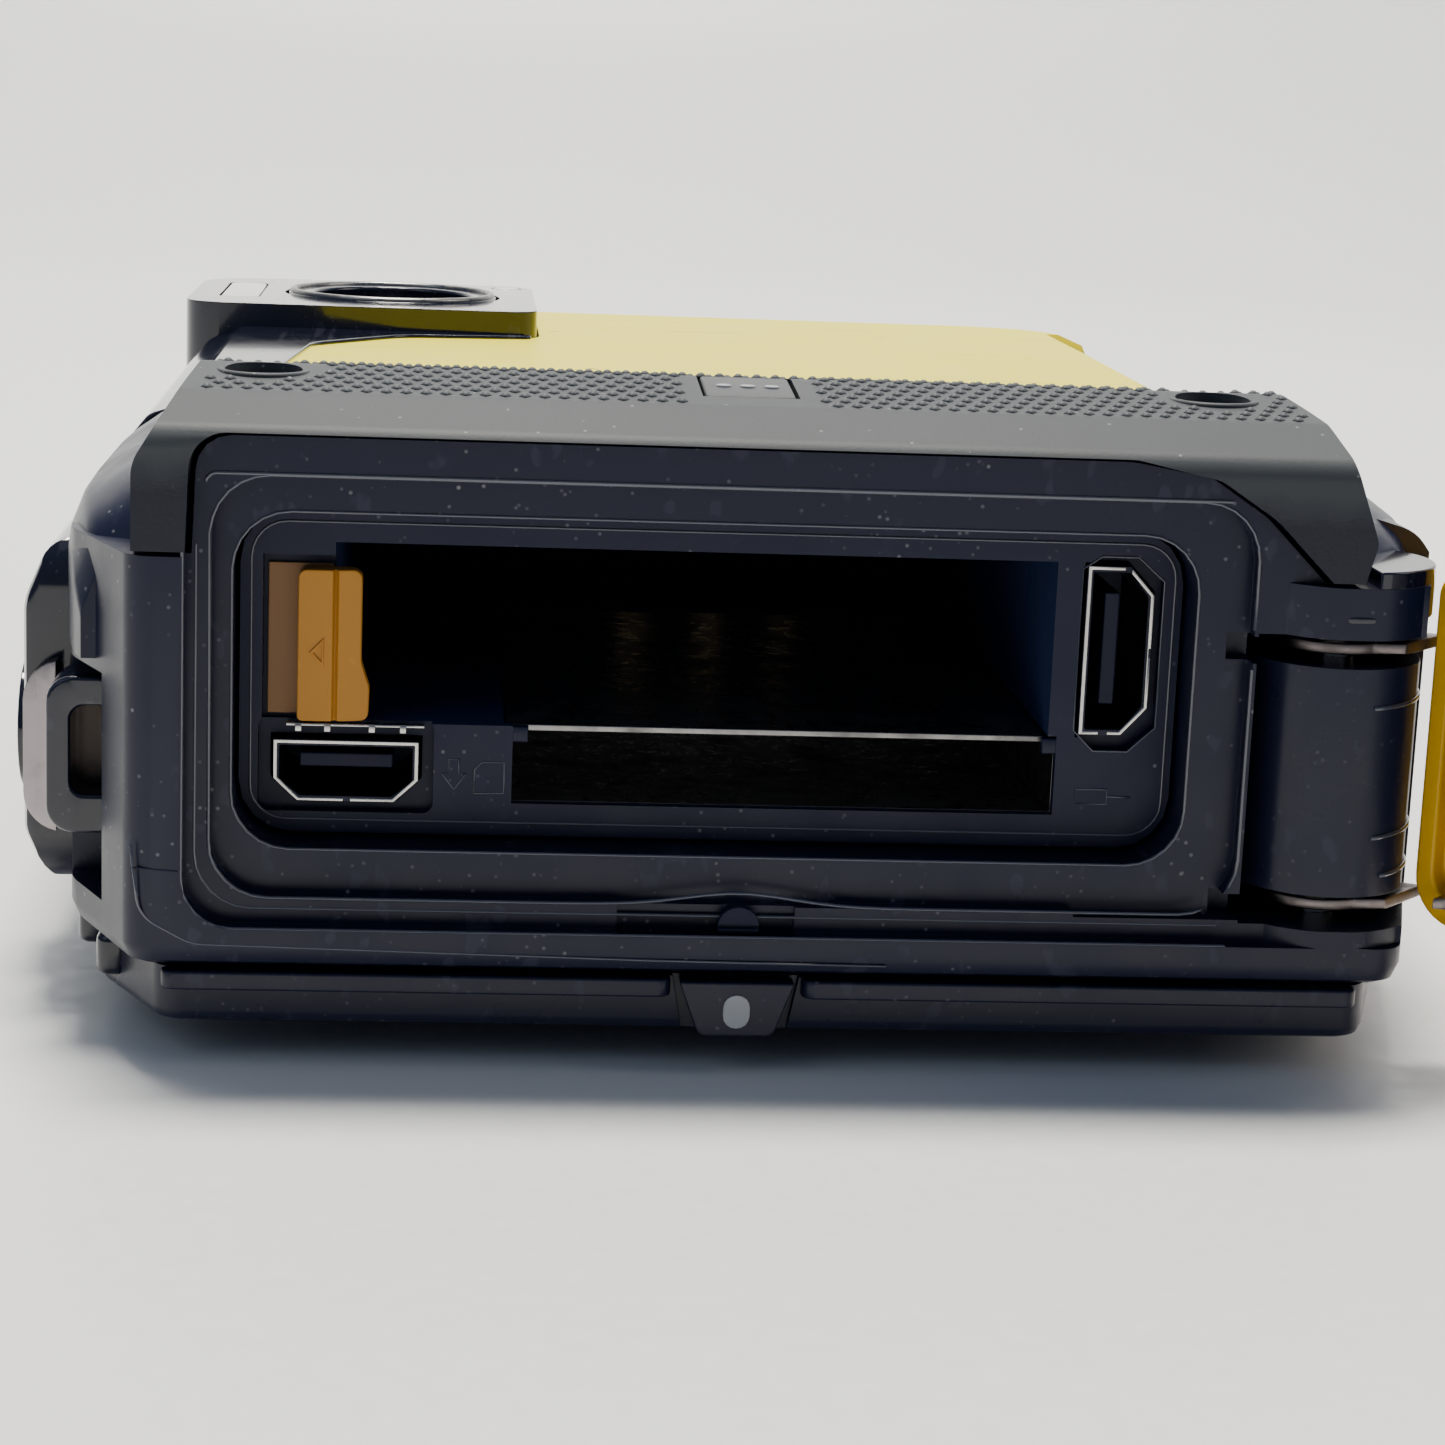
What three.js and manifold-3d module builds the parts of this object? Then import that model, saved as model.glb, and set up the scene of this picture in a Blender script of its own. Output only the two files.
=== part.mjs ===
// Rugged compact digital camera, lying on its rear side with the side door open.
// Millimetres. X runs from the top deck (-) to the tripod side (+), Y from the door end (-)
// to the lens end (+), Z from the table (0), on which the screen bezel rests, up to the front.
// The numbers below count from the body's own datum, restZ above the table.
import * as THREE from 'three';
import { mergeVertices } from 'three/addons/utils/BufferGeometryUtils.js';
import Module from 'manifold-3d';

const wasm = await Module();
wasm.setup();

// ---------------------------------------------------------------- driving dimensions
const bodyWidth = 66; // along X
const endY = -55.2; // rim round the side door
const farY = 53.6; // lens end
const rearPlate = 2.0; // inner face of the rear cover
const rearFace = -0.6; // outer face of the rear cover
const bezelStand = 1.8; // how far the screen bezel stands out of the rear face
const shellTop = 19.4; // where the black shell ends and the front cover begins
const frontZ = 22.6; // painted front face
const ridgeZ = 28.2; // highest line of the grip
const wall = 1.8; // moulded wall
const seam = 0.2; // gap between two fixed covers
const slip = 0.25; // gap round a moving piece
const frameBack = -46.2; // back of the end frame

const landY = -53.0; // face the door plug passes
const recessY = -54.0; // floor of the door recess
const plateY = -50.5; // face of the port plate
const trayEnd = -4.0; // blind end of the battery well

const slot = { x0: -20.0, x1: 12.6, z0: 12.5, z1: 20.7, depth: 45 }; // battery cell 32 x 7.9
const card = { x0: -11.8, x1: 12.9, z0: 8.9, depth: 31 }; // memory card 24 wide
const hinge = { x: 25.5, y: -51.0, barrel: 3.9, pin: 0.9, cavity: 4.3, low: 4.85, high: 18.25 };
const doorOpen = 137; // degrees from closed
const doorFace = -56.2; // outer face when closed
const lock = { x: -1.7, z: 11.5, knob: 6.5, tube: 3.1, reach: 8.4 };
const armBands = [[5.15, 6.05], [17.05, 17.95]]; // heights of the two hinge arms
const armFit = 0.15;
const lens = { x1: -9.4, y0: 29.0, y1: 51.0, top: 24.4 };
const screen = { x: 25.5, y0: -16.0, y1: 49.0 };

const halfW = bodyWidth / 2;
const restZ = rearFace - bezelStand;
const bigR = 9.5;
const rearEdge = 1.0; // rounding where the body turns to its rear face

// ---------------------------------------------------------------- helpers
const tones = {
  black: [0x17181b, 0.45, 0],
  gloss: [0x101114, 0.18, 0],
  grip: [0x3a3d40, 0.7, 0],
  yellow: [0xe9bd14, 0.3, 0],
  orange: [0xd98a1c, 0.45, 0],
  rubber: [0x202124, 0.85, 0],
  steel: [0xb9bbbd, 0.3, 1],
  brass: [0xb7924a, 0.35, 1],
  glass: [0x1c2228, 0.05, 0],
  board: [0x1d4a32, 0.6, 0],
  grey: [0x9b9d9c, 0.5, 0],
};
const group = new THREE.Group();
group.name = 'camera';

function toSolid(geometry) {
  const bare = geometry.index ? geometry.toNonIndexed() : geometry;
  bare.deleteAttribute('normal');
  bare.deleteAttribute('uv');
  const merged = mergeVertices(bare, 1e-4);
  return new wasm.Manifold(new wasm.Mesh({
    numProp: 3,
    vertProperties: new Float32Array(merged.attributes.position.array),
    triVerts: new Uint32Array(merged.index.array),
  }));
}

function toGeometry(solid) {
  const mesh = solid.getMesh();
  const geometry = new THREE.BufferGeometry();
  geometry.setAttribute('position', new THREE.BufferAttribute(new Float32Array(mesh.vertProperties), 3));
  geometry.setIndex(new THREE.BufferAttribute(new Uint32Array(mesh.triVerts), 1));
  geometry.computeVertexNormals();
  return geometry;
}

function add(name, solid, tone) {
  const [color, roughness, metalness] = tones[tone];
  const material = new THREE.MeshStandardMaterial({ name: tone, color, roughness, metalness });
  const mesh = new THREE.Mesh(toGeometry(solid), material);
  mesh.name = name;
  mesh.position.z = -restZ;
  group.add(mesh);
  return mesh;
}

// Corners [u, v, radius] to a smooth closed outline.
function rounded(corners, steps = 4) {
  const out = [];
  const n = corners.length;
  corners.forEach(([u, v, r = 0], i) => {
    const here = new THREE.Vector2(u, v);
    if (r < 0.01) {
      out.push(here);
      return;
    }
    const [pu, pv] = corners[(i + n - 1) % n];
    const [nu, nv] = corners[(i + 1) % n];
    const a = new THREE.Vector2(pu - u, pv - v).normalize();
    const b = new THREE.Vector2(nu - u, nv - v).normalize();
    const half = Math.acos(Math.min(1, Math.max(-1, a.dot(b)))) / 2;
    const back = r / Math.tan(half);
    const centre = a.clone().add(b).normalize().multiplyScalar(r / Math.sin(half)).add(here);
    const from = a.multiplyScalar(back).add(here).sub(centre);
    const to = b.multiplyScalar(back).add(here).sub(centre);
    const turn = Math.atan2(from.x * to.y - from.y * to.x, from.dot(to));
    for (let k = 0; k <= steps; k += 1) {
      out.push(from.clone().rotateAround(new THREE.Vector2(), (turn * k) / steps).add(centre));
    }
  });
  return out;
}

const rect = (u0, v0, u1, v1, r = 0, steps = 4) =>
  rounded([[u0, v0, r], [u1, v0, r], [u1, v1, r], [u0, v1, r]], steps);

const bases = {
  z: [[1, 0, 0], [0, 1, 0], [0, 0, 1]],
  y: [[1, 0, 0], [0, 0, 1], [0, -1, 0]],
  x: [[0, 1, 0], [0, 0, 1], [1, 0, 0]],
};

// Outline swept along an axis; the outline is (x, y) for z, (x, z) for y and (y, z) for x.
function prism(axis, outline, from, to, bevel = 0, ends = 'both') {
  const [w0, w1] = axis === 'y' ? [-to, -from] : [from, to];
  const lowFlat = bevel > 0 && (ends === (axis === 'y' ? 'low' : 'high'));
  const highFlat = bevel > 0 && (ends === (axis === 'y' ? 'high' : 'low'));
  const a = lowFlat ? w0 - bevel * 2 : w0;
  const b = highFlat ? w1 + bevel * 2 : w1;
  const geometry = new THREE.ExtrudeGeometry(new THREE.Shape(outline), {
    depth: b - a - 2 * bevel,
    bevelEnabled: bevel > 0,
    bevelThickness: bevel,
    bevelSize: bevel,
    bevelOffset: -bevel,
    bevelSegments: 2,
    curveSegments: 4,
  });
  geometry.translate(0, 0, a + bevel);
  const [ex, ey, ez] = bases[axis].map((v) => new THREE.Vector3(...v));
  let solid = toSolid(geometry);
  if (lowFlat) solid = solid.trimByPlane([0, 0, 1], w0);
  if (highFlat) solid = solid.trimByPlane([0, 0, -1], -w1);
  const turned = toGeometry(solid);
  turned.applyMatrix4(new THREE.Matrix4().makeBasis(ex, ey, ez));
  return toSolid(turned);
}

const box = (x0, y0, z0, x1, y1, z1) => prism('z', rect(x0, y0, x1, y1), z0, z1);

function circle(u, v, r, steps = 28) {
  const step = (2 * Math.PI) / steps;
  return Array.from({ length: steps }, (_, k) =>
    new THREE.Vector2(u + r * Math.cos(step * k), v + r * Math.sin(step * k)));
}

const disc = (axis, u, v, r, from, to, steps = 28) => prism(axis, circle(u, v, r, steps), from, to);

function turnAboutHinge(solid, degrees) {
  const geometry = toGeometry(solid);
  geometry.translate(-hinge.x, -hinge.y, 0);
  geometry.rotateZ(THREE.MathUtils.degToRad(degrees));
  geometry.translate(hinge.x, hinge.y, 0);
  return toSolid(geometry);
}

// Plan of the camera body, pulled in by `inset` all round.
function plan(inset, near = endY + inset, nearR = 1.6) {
  const w = halfW - inset;
  return rounded([
    [-w + 4.4, near, nearR],
    [w - 4.5, near, nearR],
    [w - 2.1, -47.0, 5],
    [w, -37.5, 8],
    [w, farY - inset, bigR - inset],
    [-w, farY - inset, bigR - inset],
    [-w, -36, 14],
    [-w + 1.0, -47.5, 5],
  ], 5);
}

const beyond = (y0, y1, z0, z1) => box(-80, y0, z0, 80, y1, z1);

// ---------------------------------------------------------------- rear cover and screen
const rearButtons = [
  { name: 'movie_button', x: -21.5, y: -31.0, r: 3.2 },
  { name: 'playback_button', x: -13.5, y: -24.0, r: 2.6 },
  { name: 'mode_button', x: -12.5, y: -42.4, r: 2.6 },
  { name: 'menu_button', x: 21.0, y: -42.4, r: 2.6 },
  { name: 'delete_button', x: 21.0, y: -26.0, r: 2.6 },
];
const pad = { x: 3.5, y: -34.0, r: 9.0, ok: 4.0 };
const rocker = { x: -halfW + 4.2, y: -37.5, w: 3.0, l: 11.0 };
const tabX = -1.65;
const tab = rounded([[tabX - 1.7, rearFace + 0.05, 0.5], [tabX + 1.7, rearFace + 0.05, 0.5], [tabX + 2.6, 1.95], [tabX - 2.6, 1.95]]);
const tabSpace = rounded([[tabX - 2.1, -2], [tabX + 2.1, -2], [tabX + 2.9, 2.2], [tabX - 2.9, 2.2]]);
const bezel = { x: screen.x + 2.6, y0: screen.y0 - 2.6, y1: screen.y1 + 2.2, r: 4 };

let rear = prism('z', plan(1.3, endY + 1.0), rearFace, rearPlate, 0.6, 'low')
  .add(prism('z', rect(-bezel.x, bezel.y0, bezel.x, bezel.y1, bezel.r), restZ, rearFace + 0.4, 0.5, 'low'))
  .subtract(prism('z', rect(-screen.x - seam, screen.y0 - seam, screen.x + seam, screen.y1 + seam, 1.5), -6, 4))
  .subtract(disc('z', pad.x, pad.y, pad.r + slip, -3, 4))
  .subtract(prism('z', rect(rocker.x - rocker.w / 2 - slip, rocker.y - rocker.l / 2 - slip,
    rocker.x + rocker.w / 2 + slip, rocker.y + rocker.l / 2 + slip, 0.8), -3, 4))
  .subtract(prism('y', tabSpace, endY, endY + 1.4));
for (const b of rearButtons) rear = rear.subtract(disc('z', b.x, b.y, b.r + slip, -3, 4, 20));
add('rear_cover', rear, 'black');

add('index_tab', prism('y', tab, endY + 0.05, endY + 1.2), 'black');
const mark = rect(tabX - 0.6, -0.15, tabX + 0.6, 1.4, 0.58);
add('index_mark', prism('y', mark, endY - 0.05, endY + 0.05), 'grey');

add('screen_window', prism('z', rect(-screen.x, screen.y0, screen.x, screen.y1, 1.3), restZ, restZ + 1.2), 'glass');
add('screen_panel', prism('z', rect(-screen.x + 1.5, screen.y0 + 2, screen.x - 1.5, screen.y1 - 2, 0.5),
  restZ + 1.2, restZ + 3.6), 'gloss');

const keyFace = rearFace + 0.2;
for (const b of rearButtons) {
  const cap = disc('z', b.x, b.y, b.r, keyFace, 2.4, 20).add(disc('z', b.x, b.y, b.r + 0.7, 2.3, 3.1, 20));
  add(b.name, cap, 'black');
}
const padRing = disc('z', pad.x, pad.y, pad.r, keyFace, 2.4).add(disc('z', pad.x, pad.y, pad.r + 0.7, 2.3, 3.1))
  .subtract(disc('z', pad.x, pad.y, pad.ok + slip, -3, 5, 24));
add('selector_ring', padRing, 'black');
add('ok_button', disc('z', pad.x, pad.y, pad.ok, keyFace, 3.1, 24), 'black');
const rock = prism('z', rect(rocker.x - rocker.w / 2, rocker.y - rocker.l / 2,
  rocker.x + rocker.w / 2, rocker.y + rocker.l / 2, 0.7), keyFace + 0.1, 2.6);
add('zoom_rocker', rock, 'black');
add('key_board', box(-27.5, -45.4, 3.9, 28, -20.5, 4.7), 'board');

// ---------------------------------------------------------------- black shell, top deck
const shellLow = rearPlate + seam;
const frontOfShell = frameBack + seam;
let shell = prism('z', plan(0), shellLow, shellTop, rearEdge, 'low')
  .subtract(prism('z', plan(wall), 0, 30))
  .subtract(beyond(-70, frontOfShell, 0, 30));
// Shoulders that carry the shell up beside the grip.
const shoulder = { y0: frontOfShell, y1: -15, left: -halfW + 4.1, right: halfW - 5.8 };
const leftShoulder = rounded([[-halfW + 0.2, 18], [shoulder.left, 18], [shoulder.left, 22.7, 0.4], [-halfW + 2.2, 21.9, 2],
  [-halfW + 0.3, 19.3, 1.5]]);
const rightShoulder = rounded([[shoulder.right, 18], [halfW - 0.2, 18], [halfW - 0.9, 19.6, 1.5], [halfW - 2.6, 21.9, 2],
  [shoulder.right, 22.8, 0.4]]);
const within = prism('z', plan(0.02), 0, 40);
shell = shell.add(prism('y', leftShoulder, shoulder.y0, shoulder.y1).intersect(within))
  .add(prism('y', rightShoulder, shoulder.y0, shoulder.y1).intersect(within))
  .subtract(prism('z', plan(wall), 0, 18.4));

// Top deck: raised island on the -X side with the shutter and power buttons.
const deck = { y0: -43.5, y1: -4.0, z0: 2.6, z1: 19.0, out: 1.7 };
const deckSection = rounded([[-halfW + 2, deck.z0], [-halfW - 0.4, deck.z0, 0.8], [-halfW - deck.out, deck.z0 + 2.8, 2],
  [-halfW - deck.out, deck.z1 - 2.6, 3], [-halfW - 0.6, deck.z1, 1.5], [-halfW + 2, deck.z1 + 0.9]]);
const shutter = { y: -35.6, z: 9.0, r: 4.05, button: 3.2 };
const power = { y: -20.0, z: 9.0, r: 2.2 };
const speaker = { y: 12.0, z: 11.0, r: 3.4 };
const keySpace = (k, r) => disc('x', k.y, k.z, r, -halfW - 6, -halfW + wall + 1, 24);
shell = shell.subtract(keySpace(shutter, shutter.button + slip)).subtract(keySpace(power, power.r + slip))
  .subtract(keySpace(speaker, speaker.r + seam));
const tripod = { y: 6.0, z: 10.6, r: 5.0, bore: 3.18 };
shell = shell.subtract(disc('x', tripod.y, tripod.z, tripod.r + seam, halfW - wall - 1, halfW + 4, 24));
add('body_shell', shell, 'black');

const island = prism('y', deckSection, deck.y0, deck.y1, 0.5)
  .intersect(prism('x', rect(deck.y0, deck.z0, deck.y1, deck.z1 + 1, 3), -halfW - 3, -halfW + 3))
  .subtract(keySpace(shutter, shutter.button + slip))
  .subtract(disc('x', shutter.y, shutter.z, shutter.r + seam, -halfW - 6, -halfW - 0.6, 24))
  .subtract(keySpace(power, power.r + slip));
const deckCut = prism('z', plan(-0.02), 0, 40);
add('top_deck', island.subtract(deckCut), 'gloss');
add('shutter_ring', disc('x', shutter.y, shutter.z, shutter.r, -halfW - 2.1, -halfW - 0.6)
  .subtract(keySpace(shutter, shutter.button + slip)), 'steel');
add('shutter_button', disc('x', shutter.y, shutter.z, shutter.button, -halfW - 2.6, -halfW + wall + 0.6, 24)
  .add(disc('x', shutter.y, shutter.z, shutter.button + 0.7, -halfW + wall + 0.6, -halfW + wall + 1.4, 24)), 'gloss');
add('power_button', disc('x', power.y, power.z, power.r, -halfW - 1.9, -halfW + wall + 0.2, 24)
  .add(disc('x', power.y, power.z, power.r + 0.7, -halfW + wall + 0.2, -halfW + wall + 1.0, 24)), 'gloss');
const band = { y0: -44.5, y1: -43.7, z0: 5.0, z1: 13.3, sheet: 1.2 };
const bandOuter = -halfW - deck.out - 0.2;
add('strap_band', prism('y', rect(bandOuter, band.z0, -halfW + 4, band.z1, 1.8), band.y0, band.y1, 0.15)
  .subtract(prism('y', rect(bandOuter + band.sheet, band.z0 + band.sheet, 0, band.z1 - band.sheet, 0.8), -60, -40))
  .subtract(prism('z', plan(-0.05), 0, 40)), 'steel');
let grille = disc('x', speaker.y, speaker.z, speaker.r, -halfW + 0.1, -halfW + wall, 24);
for (const [dy, dz] of [[0, 0], [1.8, 0], [-1.8, 0], [0, 1.8], [0, -1.8]]) {
  grille = grille.subtract(disc('x', speaker.y + dy, speaker.z + dz, 0.45, -halfW - 1, -halfW + wall + 1, 8));
}
add('speaker_grille', grille, 'black');
add('tripod_bush', disc('x', tripod.y, tripod.z, tripod.r, halfW - 8, halfW, 24)
  .subtract(disc('x', tripod.y, tripod.z, tripod.bore, halfW - 6.5, halfW + 1, 24)), 'brass');

// ---------------------------------------------------------------- end frame
const capOutline = (grow) => rounded([
  [-26.3 - grow, 15], [24.2 + grow, 15], [24.2 + grow, 20.5], [21.2 + grow, 23.5, 2], [18.6 + grow, 25.2, 2],
  [15.0, 25.8 + grow, 3], [-25.9 - grow, 25.8 + grow, 1.6]]);
const bore = { x0: -24.4, x1: 18.6, z0: 7.2, z1: 22.4, r: 2.6 };
const frameBlank = prism('z', plan(0), shellLow, 20.6, rearEdge, 'low');
let endFrame = frameBlank.add(
  prism('y', capOutline(0), endY + 0.9, frameBack),
).subtract(beyond(frameBack, 90, 0, 40))
  .subtract(prism('y', rounded([[-26.4, 4.05, 2.2], [40, 4.05], [40, 40], [-26.4, 40]]), endY - 1, recessY))
  .subtract(prism('y', rect(-25.3, 5.2, 21.0, 24.1, 2.6), endY - 1, landY))
  .subtract(prism('y', rect(bore.x0, bore.z0, bore.x1, bore.z1, bore.r), endY - 1, frameBack + 1));
// Room for the barrel and the arms, open towards the near side and the tripod side.
const cavity = disc('z', hinge.x, hinge.y, hinge.cavity, hinge.low, hinge.high, 32)
  .add(box(hinge.x, -70, hinge.low, halfW + 20, -48.9, hinge.high))
  .add(box(hinge.x - hinge.cavity, -70, hinge.low, halfW + 20, hinge.y, hinge.high));
const ears = disc('z', hinge.x, hinge.y, hinge.cavity, shellLow, hinge.low, 32)
  .add(disc('z', hinge.x, hinge.y, hinge.cavity, hinge.high, 20.6, 32));
const strap = { x0: -halfW, x1: -halfW + 3.7, y0: -49.6, y1: frameBack - seam, z0: 4.7, z1: 14.1 };
endFrame = endFrame.subtract(cavity).add(ears.intersect(frameBlank).subtract(beyond(frameBack, 90, 0, 40)))
  .subtract(disc('z', hinge.x, hinge.y, hinge.pin + 0.06, shellLow + 0.6, 30, 20))
  .subtract(box(-halfW - 7, -51.6, strap.z0 - 0.4, strap.x1 + 0.1, -40, strap.z1 + 0.6));
// Notch for the lock cam behind the lower lip of the recess.
endFrame = endFrame.subtract(box(lock.x - 5.4, -54.85, 2.95, lock.x + 2.6, -53.7, 6));
// Grooves the arms lie in when the door is closed.
for (const [z0, z1] of armBands) {
  endFrame = endFrame.subtract(box(13.6, -60, z0 - armFit, hinge.x, landY, z1 + armFit))
    .subtract(box(20.0, -60, z0 - armFit, hinge.x, -51.9, z1 + armFit));
}
add('end_frame', endFrame, 'black');

add('strap_eyelet', prism('y', rect(strap.x0, strap.z0, strap.x1, strap.z1, 1.2), strap.y0, strap.y1)
  .subtract(prism('y', rect(strap.x0 + 0.7, 8.4, strap.x1 - 0.5, 13.2, 0.8), -60, -40)), 'gloss');

// ---------------------------------------------------------------- port plate, battery well, card socket
const cage = { x0: card.x0 - 0.4, x1: card.x1 + 0.4, z0: card.z0 - 0.3, z1: slot.z0 - 0.05, sheet: 0.3 };
const hdmi = { x: -19.4, z: 10.25, w: 6.6, h: 2.9 };
const usb = { x: 15.55, z: 16.65, w: 3.2, h: 7.9 };
const hdmiOutline = (g) => rounded([[hdmi.x - hdmi.w / 2 + 1.1 - g * 0.4, hdmi.z - hdmi.h / 2 - g],
  [hdmi.x + hdmi.w / 2 - 1.1 + g * 0.4, hdmi.z - hdmi.h / 2 - g], [hdmi.x + hdmi.w / 2 + g, hdmi.z - 0.4],
  [hdmi.x + hdmi.w / 2 + g, hdmi.z + hdmi.h / 2 + g], [hdmi.x - hdmi.w / 2 - g, hdmi.z + hdmi.h / 2 + g],
  [hdmi.x - hdmi.w / 2 - g, hdmi.z - 0.4]]);
const usbOutline = (g) => rounded([[usb.x - usb.w / 2 - g, usb.z - usb.h / 2 - g], [usb.x + 0.4, usb.z - usb.h / 2 - g],
  [usb.x + usb.w / 2 + g, usb.z - usb.h / 2 + 1.3 - g * 0.4], [usb.x + usb.w / 2 + g, usb.z + usb.h / 2 - 1.3 + g * 0.4],
  [usb.x + 0.4, usb.z + usb.h / 2 + g], [usb.x - usb.w / 2 - g, usb.z + usb.h / 2 + g]]);
const portBack = -44.0;
const portFit = 0.12;
const tray = prism('y', rect(bore.x0 + seam, bore.z0 + seam, bore.x1 - seam, bore.z1 - seam, bore.r - seam), plateY, -48.9)
  .add(box(slot.x0 - 0.9, -49.0, slot.z0 - 0.9, slot.x1 + 0.9, trayEnd, slot.z1 + 0.4))
  .add(box(cage.x0 - 1.0, -49.0, cage.z0 - 1.1, cage.x1 + 0.9, plateY + card.depth + 2, slot.z0))
  .subtract(box(slot.x0, plateY - 1, slot.z0, slot.x1, plateY + slot.depth, slot.z1))
  .subtract(box(cage.x0 - 0.1, plateY + 0.6, cage.z0 - 0.1, cage.x1 + 0.1, plateY + card.depth + 1, slot.z0 + 0.1))
  .subtract(box(cage.x0 + cage.sheet, plateY - 1, cage.z0 + cage.sheet, cage.x1 - cage.sheet, plateY + 1, slot.z0 + 0.1))
  .subtract(prism('y', hdmiOutline(portFit), -60, -40))
  .subtract(prism('y', usbOutline(portFit), -60, -48))
  .subtract(box(-23.2, plateY - 1, 12.5, slot.x0 + 1, -49.4, 20.1));
add('bay_tray', tray, 'black');

const cageEnd = plateY + card.depth;
add('card_socket', box(cage.x0, plateY + 0.7, cage.z0, cage.x1, cageEnd, cage.z1)
  .subtract(box(cage.x0 + cage.sheet, -60, cage.z0 + cage.sheet, cage.x1 - cage.sheet, cageEnd - 0.5, cage.z1 - cage.sheet)), 'steel');
const wellEnd = plateY + slot.depth;
[-4.2, 0.2, 4.6].forEach((x, i) => {
  add(`battery_contact_${i + 1}`, box(x - 0.8, wellEnd - 1.0, 14.0, x + 0.8, wellEnd, 18.2), 'brass');
});

for (const [name, outline, grow] of [['hdmi', hdmiOutline, -0.32], ['usb', usbOutline, -0.32]]) {
  const shellOuter = prism('y', outline(0), plateY - 0.05, portBack);
  add(`${name}_shell`, shellOuter.subtract(prism('y', outline(grow), -60, portBack - 0.5)), 'steel');
}
add('hdmi_tongue', box(hdmi.x - 2.1, plateY + 0.6, hdmi.z + 0.05, hdmi.x + 2.1, portBack - 0.5, hdmi.z + 0.7), 'black');
add('usb_tongue', box(usb.x - 0.6, plateY + 0.6, usb.z - 2.6, usb.x + 0.1, portBack - 0.5, usb.z + 2.6), 'black');

// Battery latch: a sprung orange slider that overlaps the well, on a fixed strip.
add('latch_strip', box(-23.0, -49.65, 12.7, slot.x0 - 0.1, -49.4, 19.6), 'orange');
const latchBody = box(-21.55, -50.95, 12.7, -19.0, -49.75, 19.6).add(box(-19.2, -50.6, 12.8, -18.5, -49.75, 15.0));
add('battery_latch', latchBody.add(box(-19.2, -50.7, 14.8, -18.8, -49.75, 19.5)), 'orange');

// ---------------------------------------------------------------- grip
const gripProfile = rounded([[endY, 19.6], [endY, 26.1, 1.0], [-51.6, 27.5, 2], [-44.6, ridgeZ + 0.05, 6], [-41.0, 27.5, 3],
  [-38.6, 24.4, 2], [-38.1, 22.4], [-38.1, 19.6]]);
const gripFront = rounded([[-28.6, 19.6], [25.2, 19.6], [26.0, 22.6, 1.0], [23.9, ridgeZ + 0.2, 1.5], [-26.3, ridgeZ + 0.2, 1.5],
  [-28.6, 24.6, 2]]);
let grip = prism('x', gripProfile, -28.6, 26).intersect(prism('y', gripFront, -60, -30))
  .subtract(prism('y', capOutline(seam), -60, frameBack))
  .subtract(box(-60, -60, 10, 60, frontOfShell, 20.8))
  .subtract(prism('y', rounded([[-27.0, 10], [24.2, 10], [24.2, 22.6], [22.6, 26.3, 1], [-25.2, 26.3, 1], [-27.0, 23.6]]),
    -52.5, -40.6))
  .subtract(box(slot.x0 - 1.2, -60, 10, slot.x1 + 1.2, -30, slot.z1 + 0.6));
const gripScrews = [-23.5, 20.1];
for (const x of gripScrews) {
  grip = grip.subtract(disc('z', x, -46.5, 1.75, 26.9, 30, 20)).subtract(disc('z', x, -46.5, 0.75, 20, 30, 12));
}
const badge = rect(-3.75, -49.4, 0.55, -44.6, 0.6);
grip = grip.subtract(prism('z', badge, 27.15, 30));
add('grip_cover', grip, 'grip');
gripScrews.forEach((x, i) => {
  add(`grip_screw_${i + 1}`, disc('z', x, -46.5, 1.55, 26.9, 27.6, 20)
    .add(disc('z', x, -46.5, 0.65, 25.8, 27.0, 12)), 'black');
});
add('grip_pad', prism('z', rect(-3.6, -49.25, 0.4, -44.75, 0.5), 27.15, 27.75), 'grey');

// ---------------------------------------------------------------- front cover and lens block
const coverNear = -37.7;
const besideShoulder = (u, v) => box(u, -70, 0, v, shoulder.y1 + seam, 40);
let front = prism('z', plan(0.3, endY, 4), shellTop + seam, frontZ, 2.6, 'high')
  .subtract(prism('z', plan(2.0), 0, frontZ - 1.3))
  .subtract(beyond(-70, coverNear, 0, 40))
  .subtract(prism('z', rect(-halfW - 20, lens.y0 - seam, lens.x1 + seam, lens.y1 + seam, 2.2), 0, 40));
front = front.add(box(shoulder.left, coverNear, shellTop + seam, shoulder.right, coverNear + 1.4, frontZ - 1.2))
  .subtract(besideShoulder(-80, shoulder.left + seam))
  .subtract(besideShoulder(shoulder.right - seam, 80))
  .subtract(box(slot.x0 - 1.2, coverNear - 1, 10, slot.x1 + 1.2, 0, slot.z1 + 0.6));
add('front_cover', front, 'yellow');

const shot = { x: -19.5, y: 40.0 };
const housing = prism('z', rect(-halfW + seam, lens.y0, lens.x1, lens.y1, 2.0), shellTop + seam, lens.top, 0.5, 'high')
  .subtract(disc('z', shot.x, shot.y, 7.6, 0, 40, 32))
  .subtract(prism('z', rect(-31.4, 34.0, -28.6, 46.0, 0.6), lens.top - 1.0, 40))
  .subtract(disc('z', -11.3, 48.6, 1.1, lens.top - 1.0, 40, 16))
  .intersect(prism('z', plan(-0.2), 0, 40));
add('lens_housing', housing, 'gloss');
add('lens_ring', disc('z', shot.x, shot.y, 7.4, 19.8, lens.top + 0.1, 32)
  .subtract(disc('z', shot.x, shot.y, 5.6, 0, lens.top + 1, 32)), 'gloss');
add('lens_window', disc('z', shot.x, shot.y, 5.5, 22.6, 23.6, 32), 'glass');
add('front_element', disc('z', shot.x, shot.y, 4.6, 20.2, 22.5, 28), 'glass');
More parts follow.
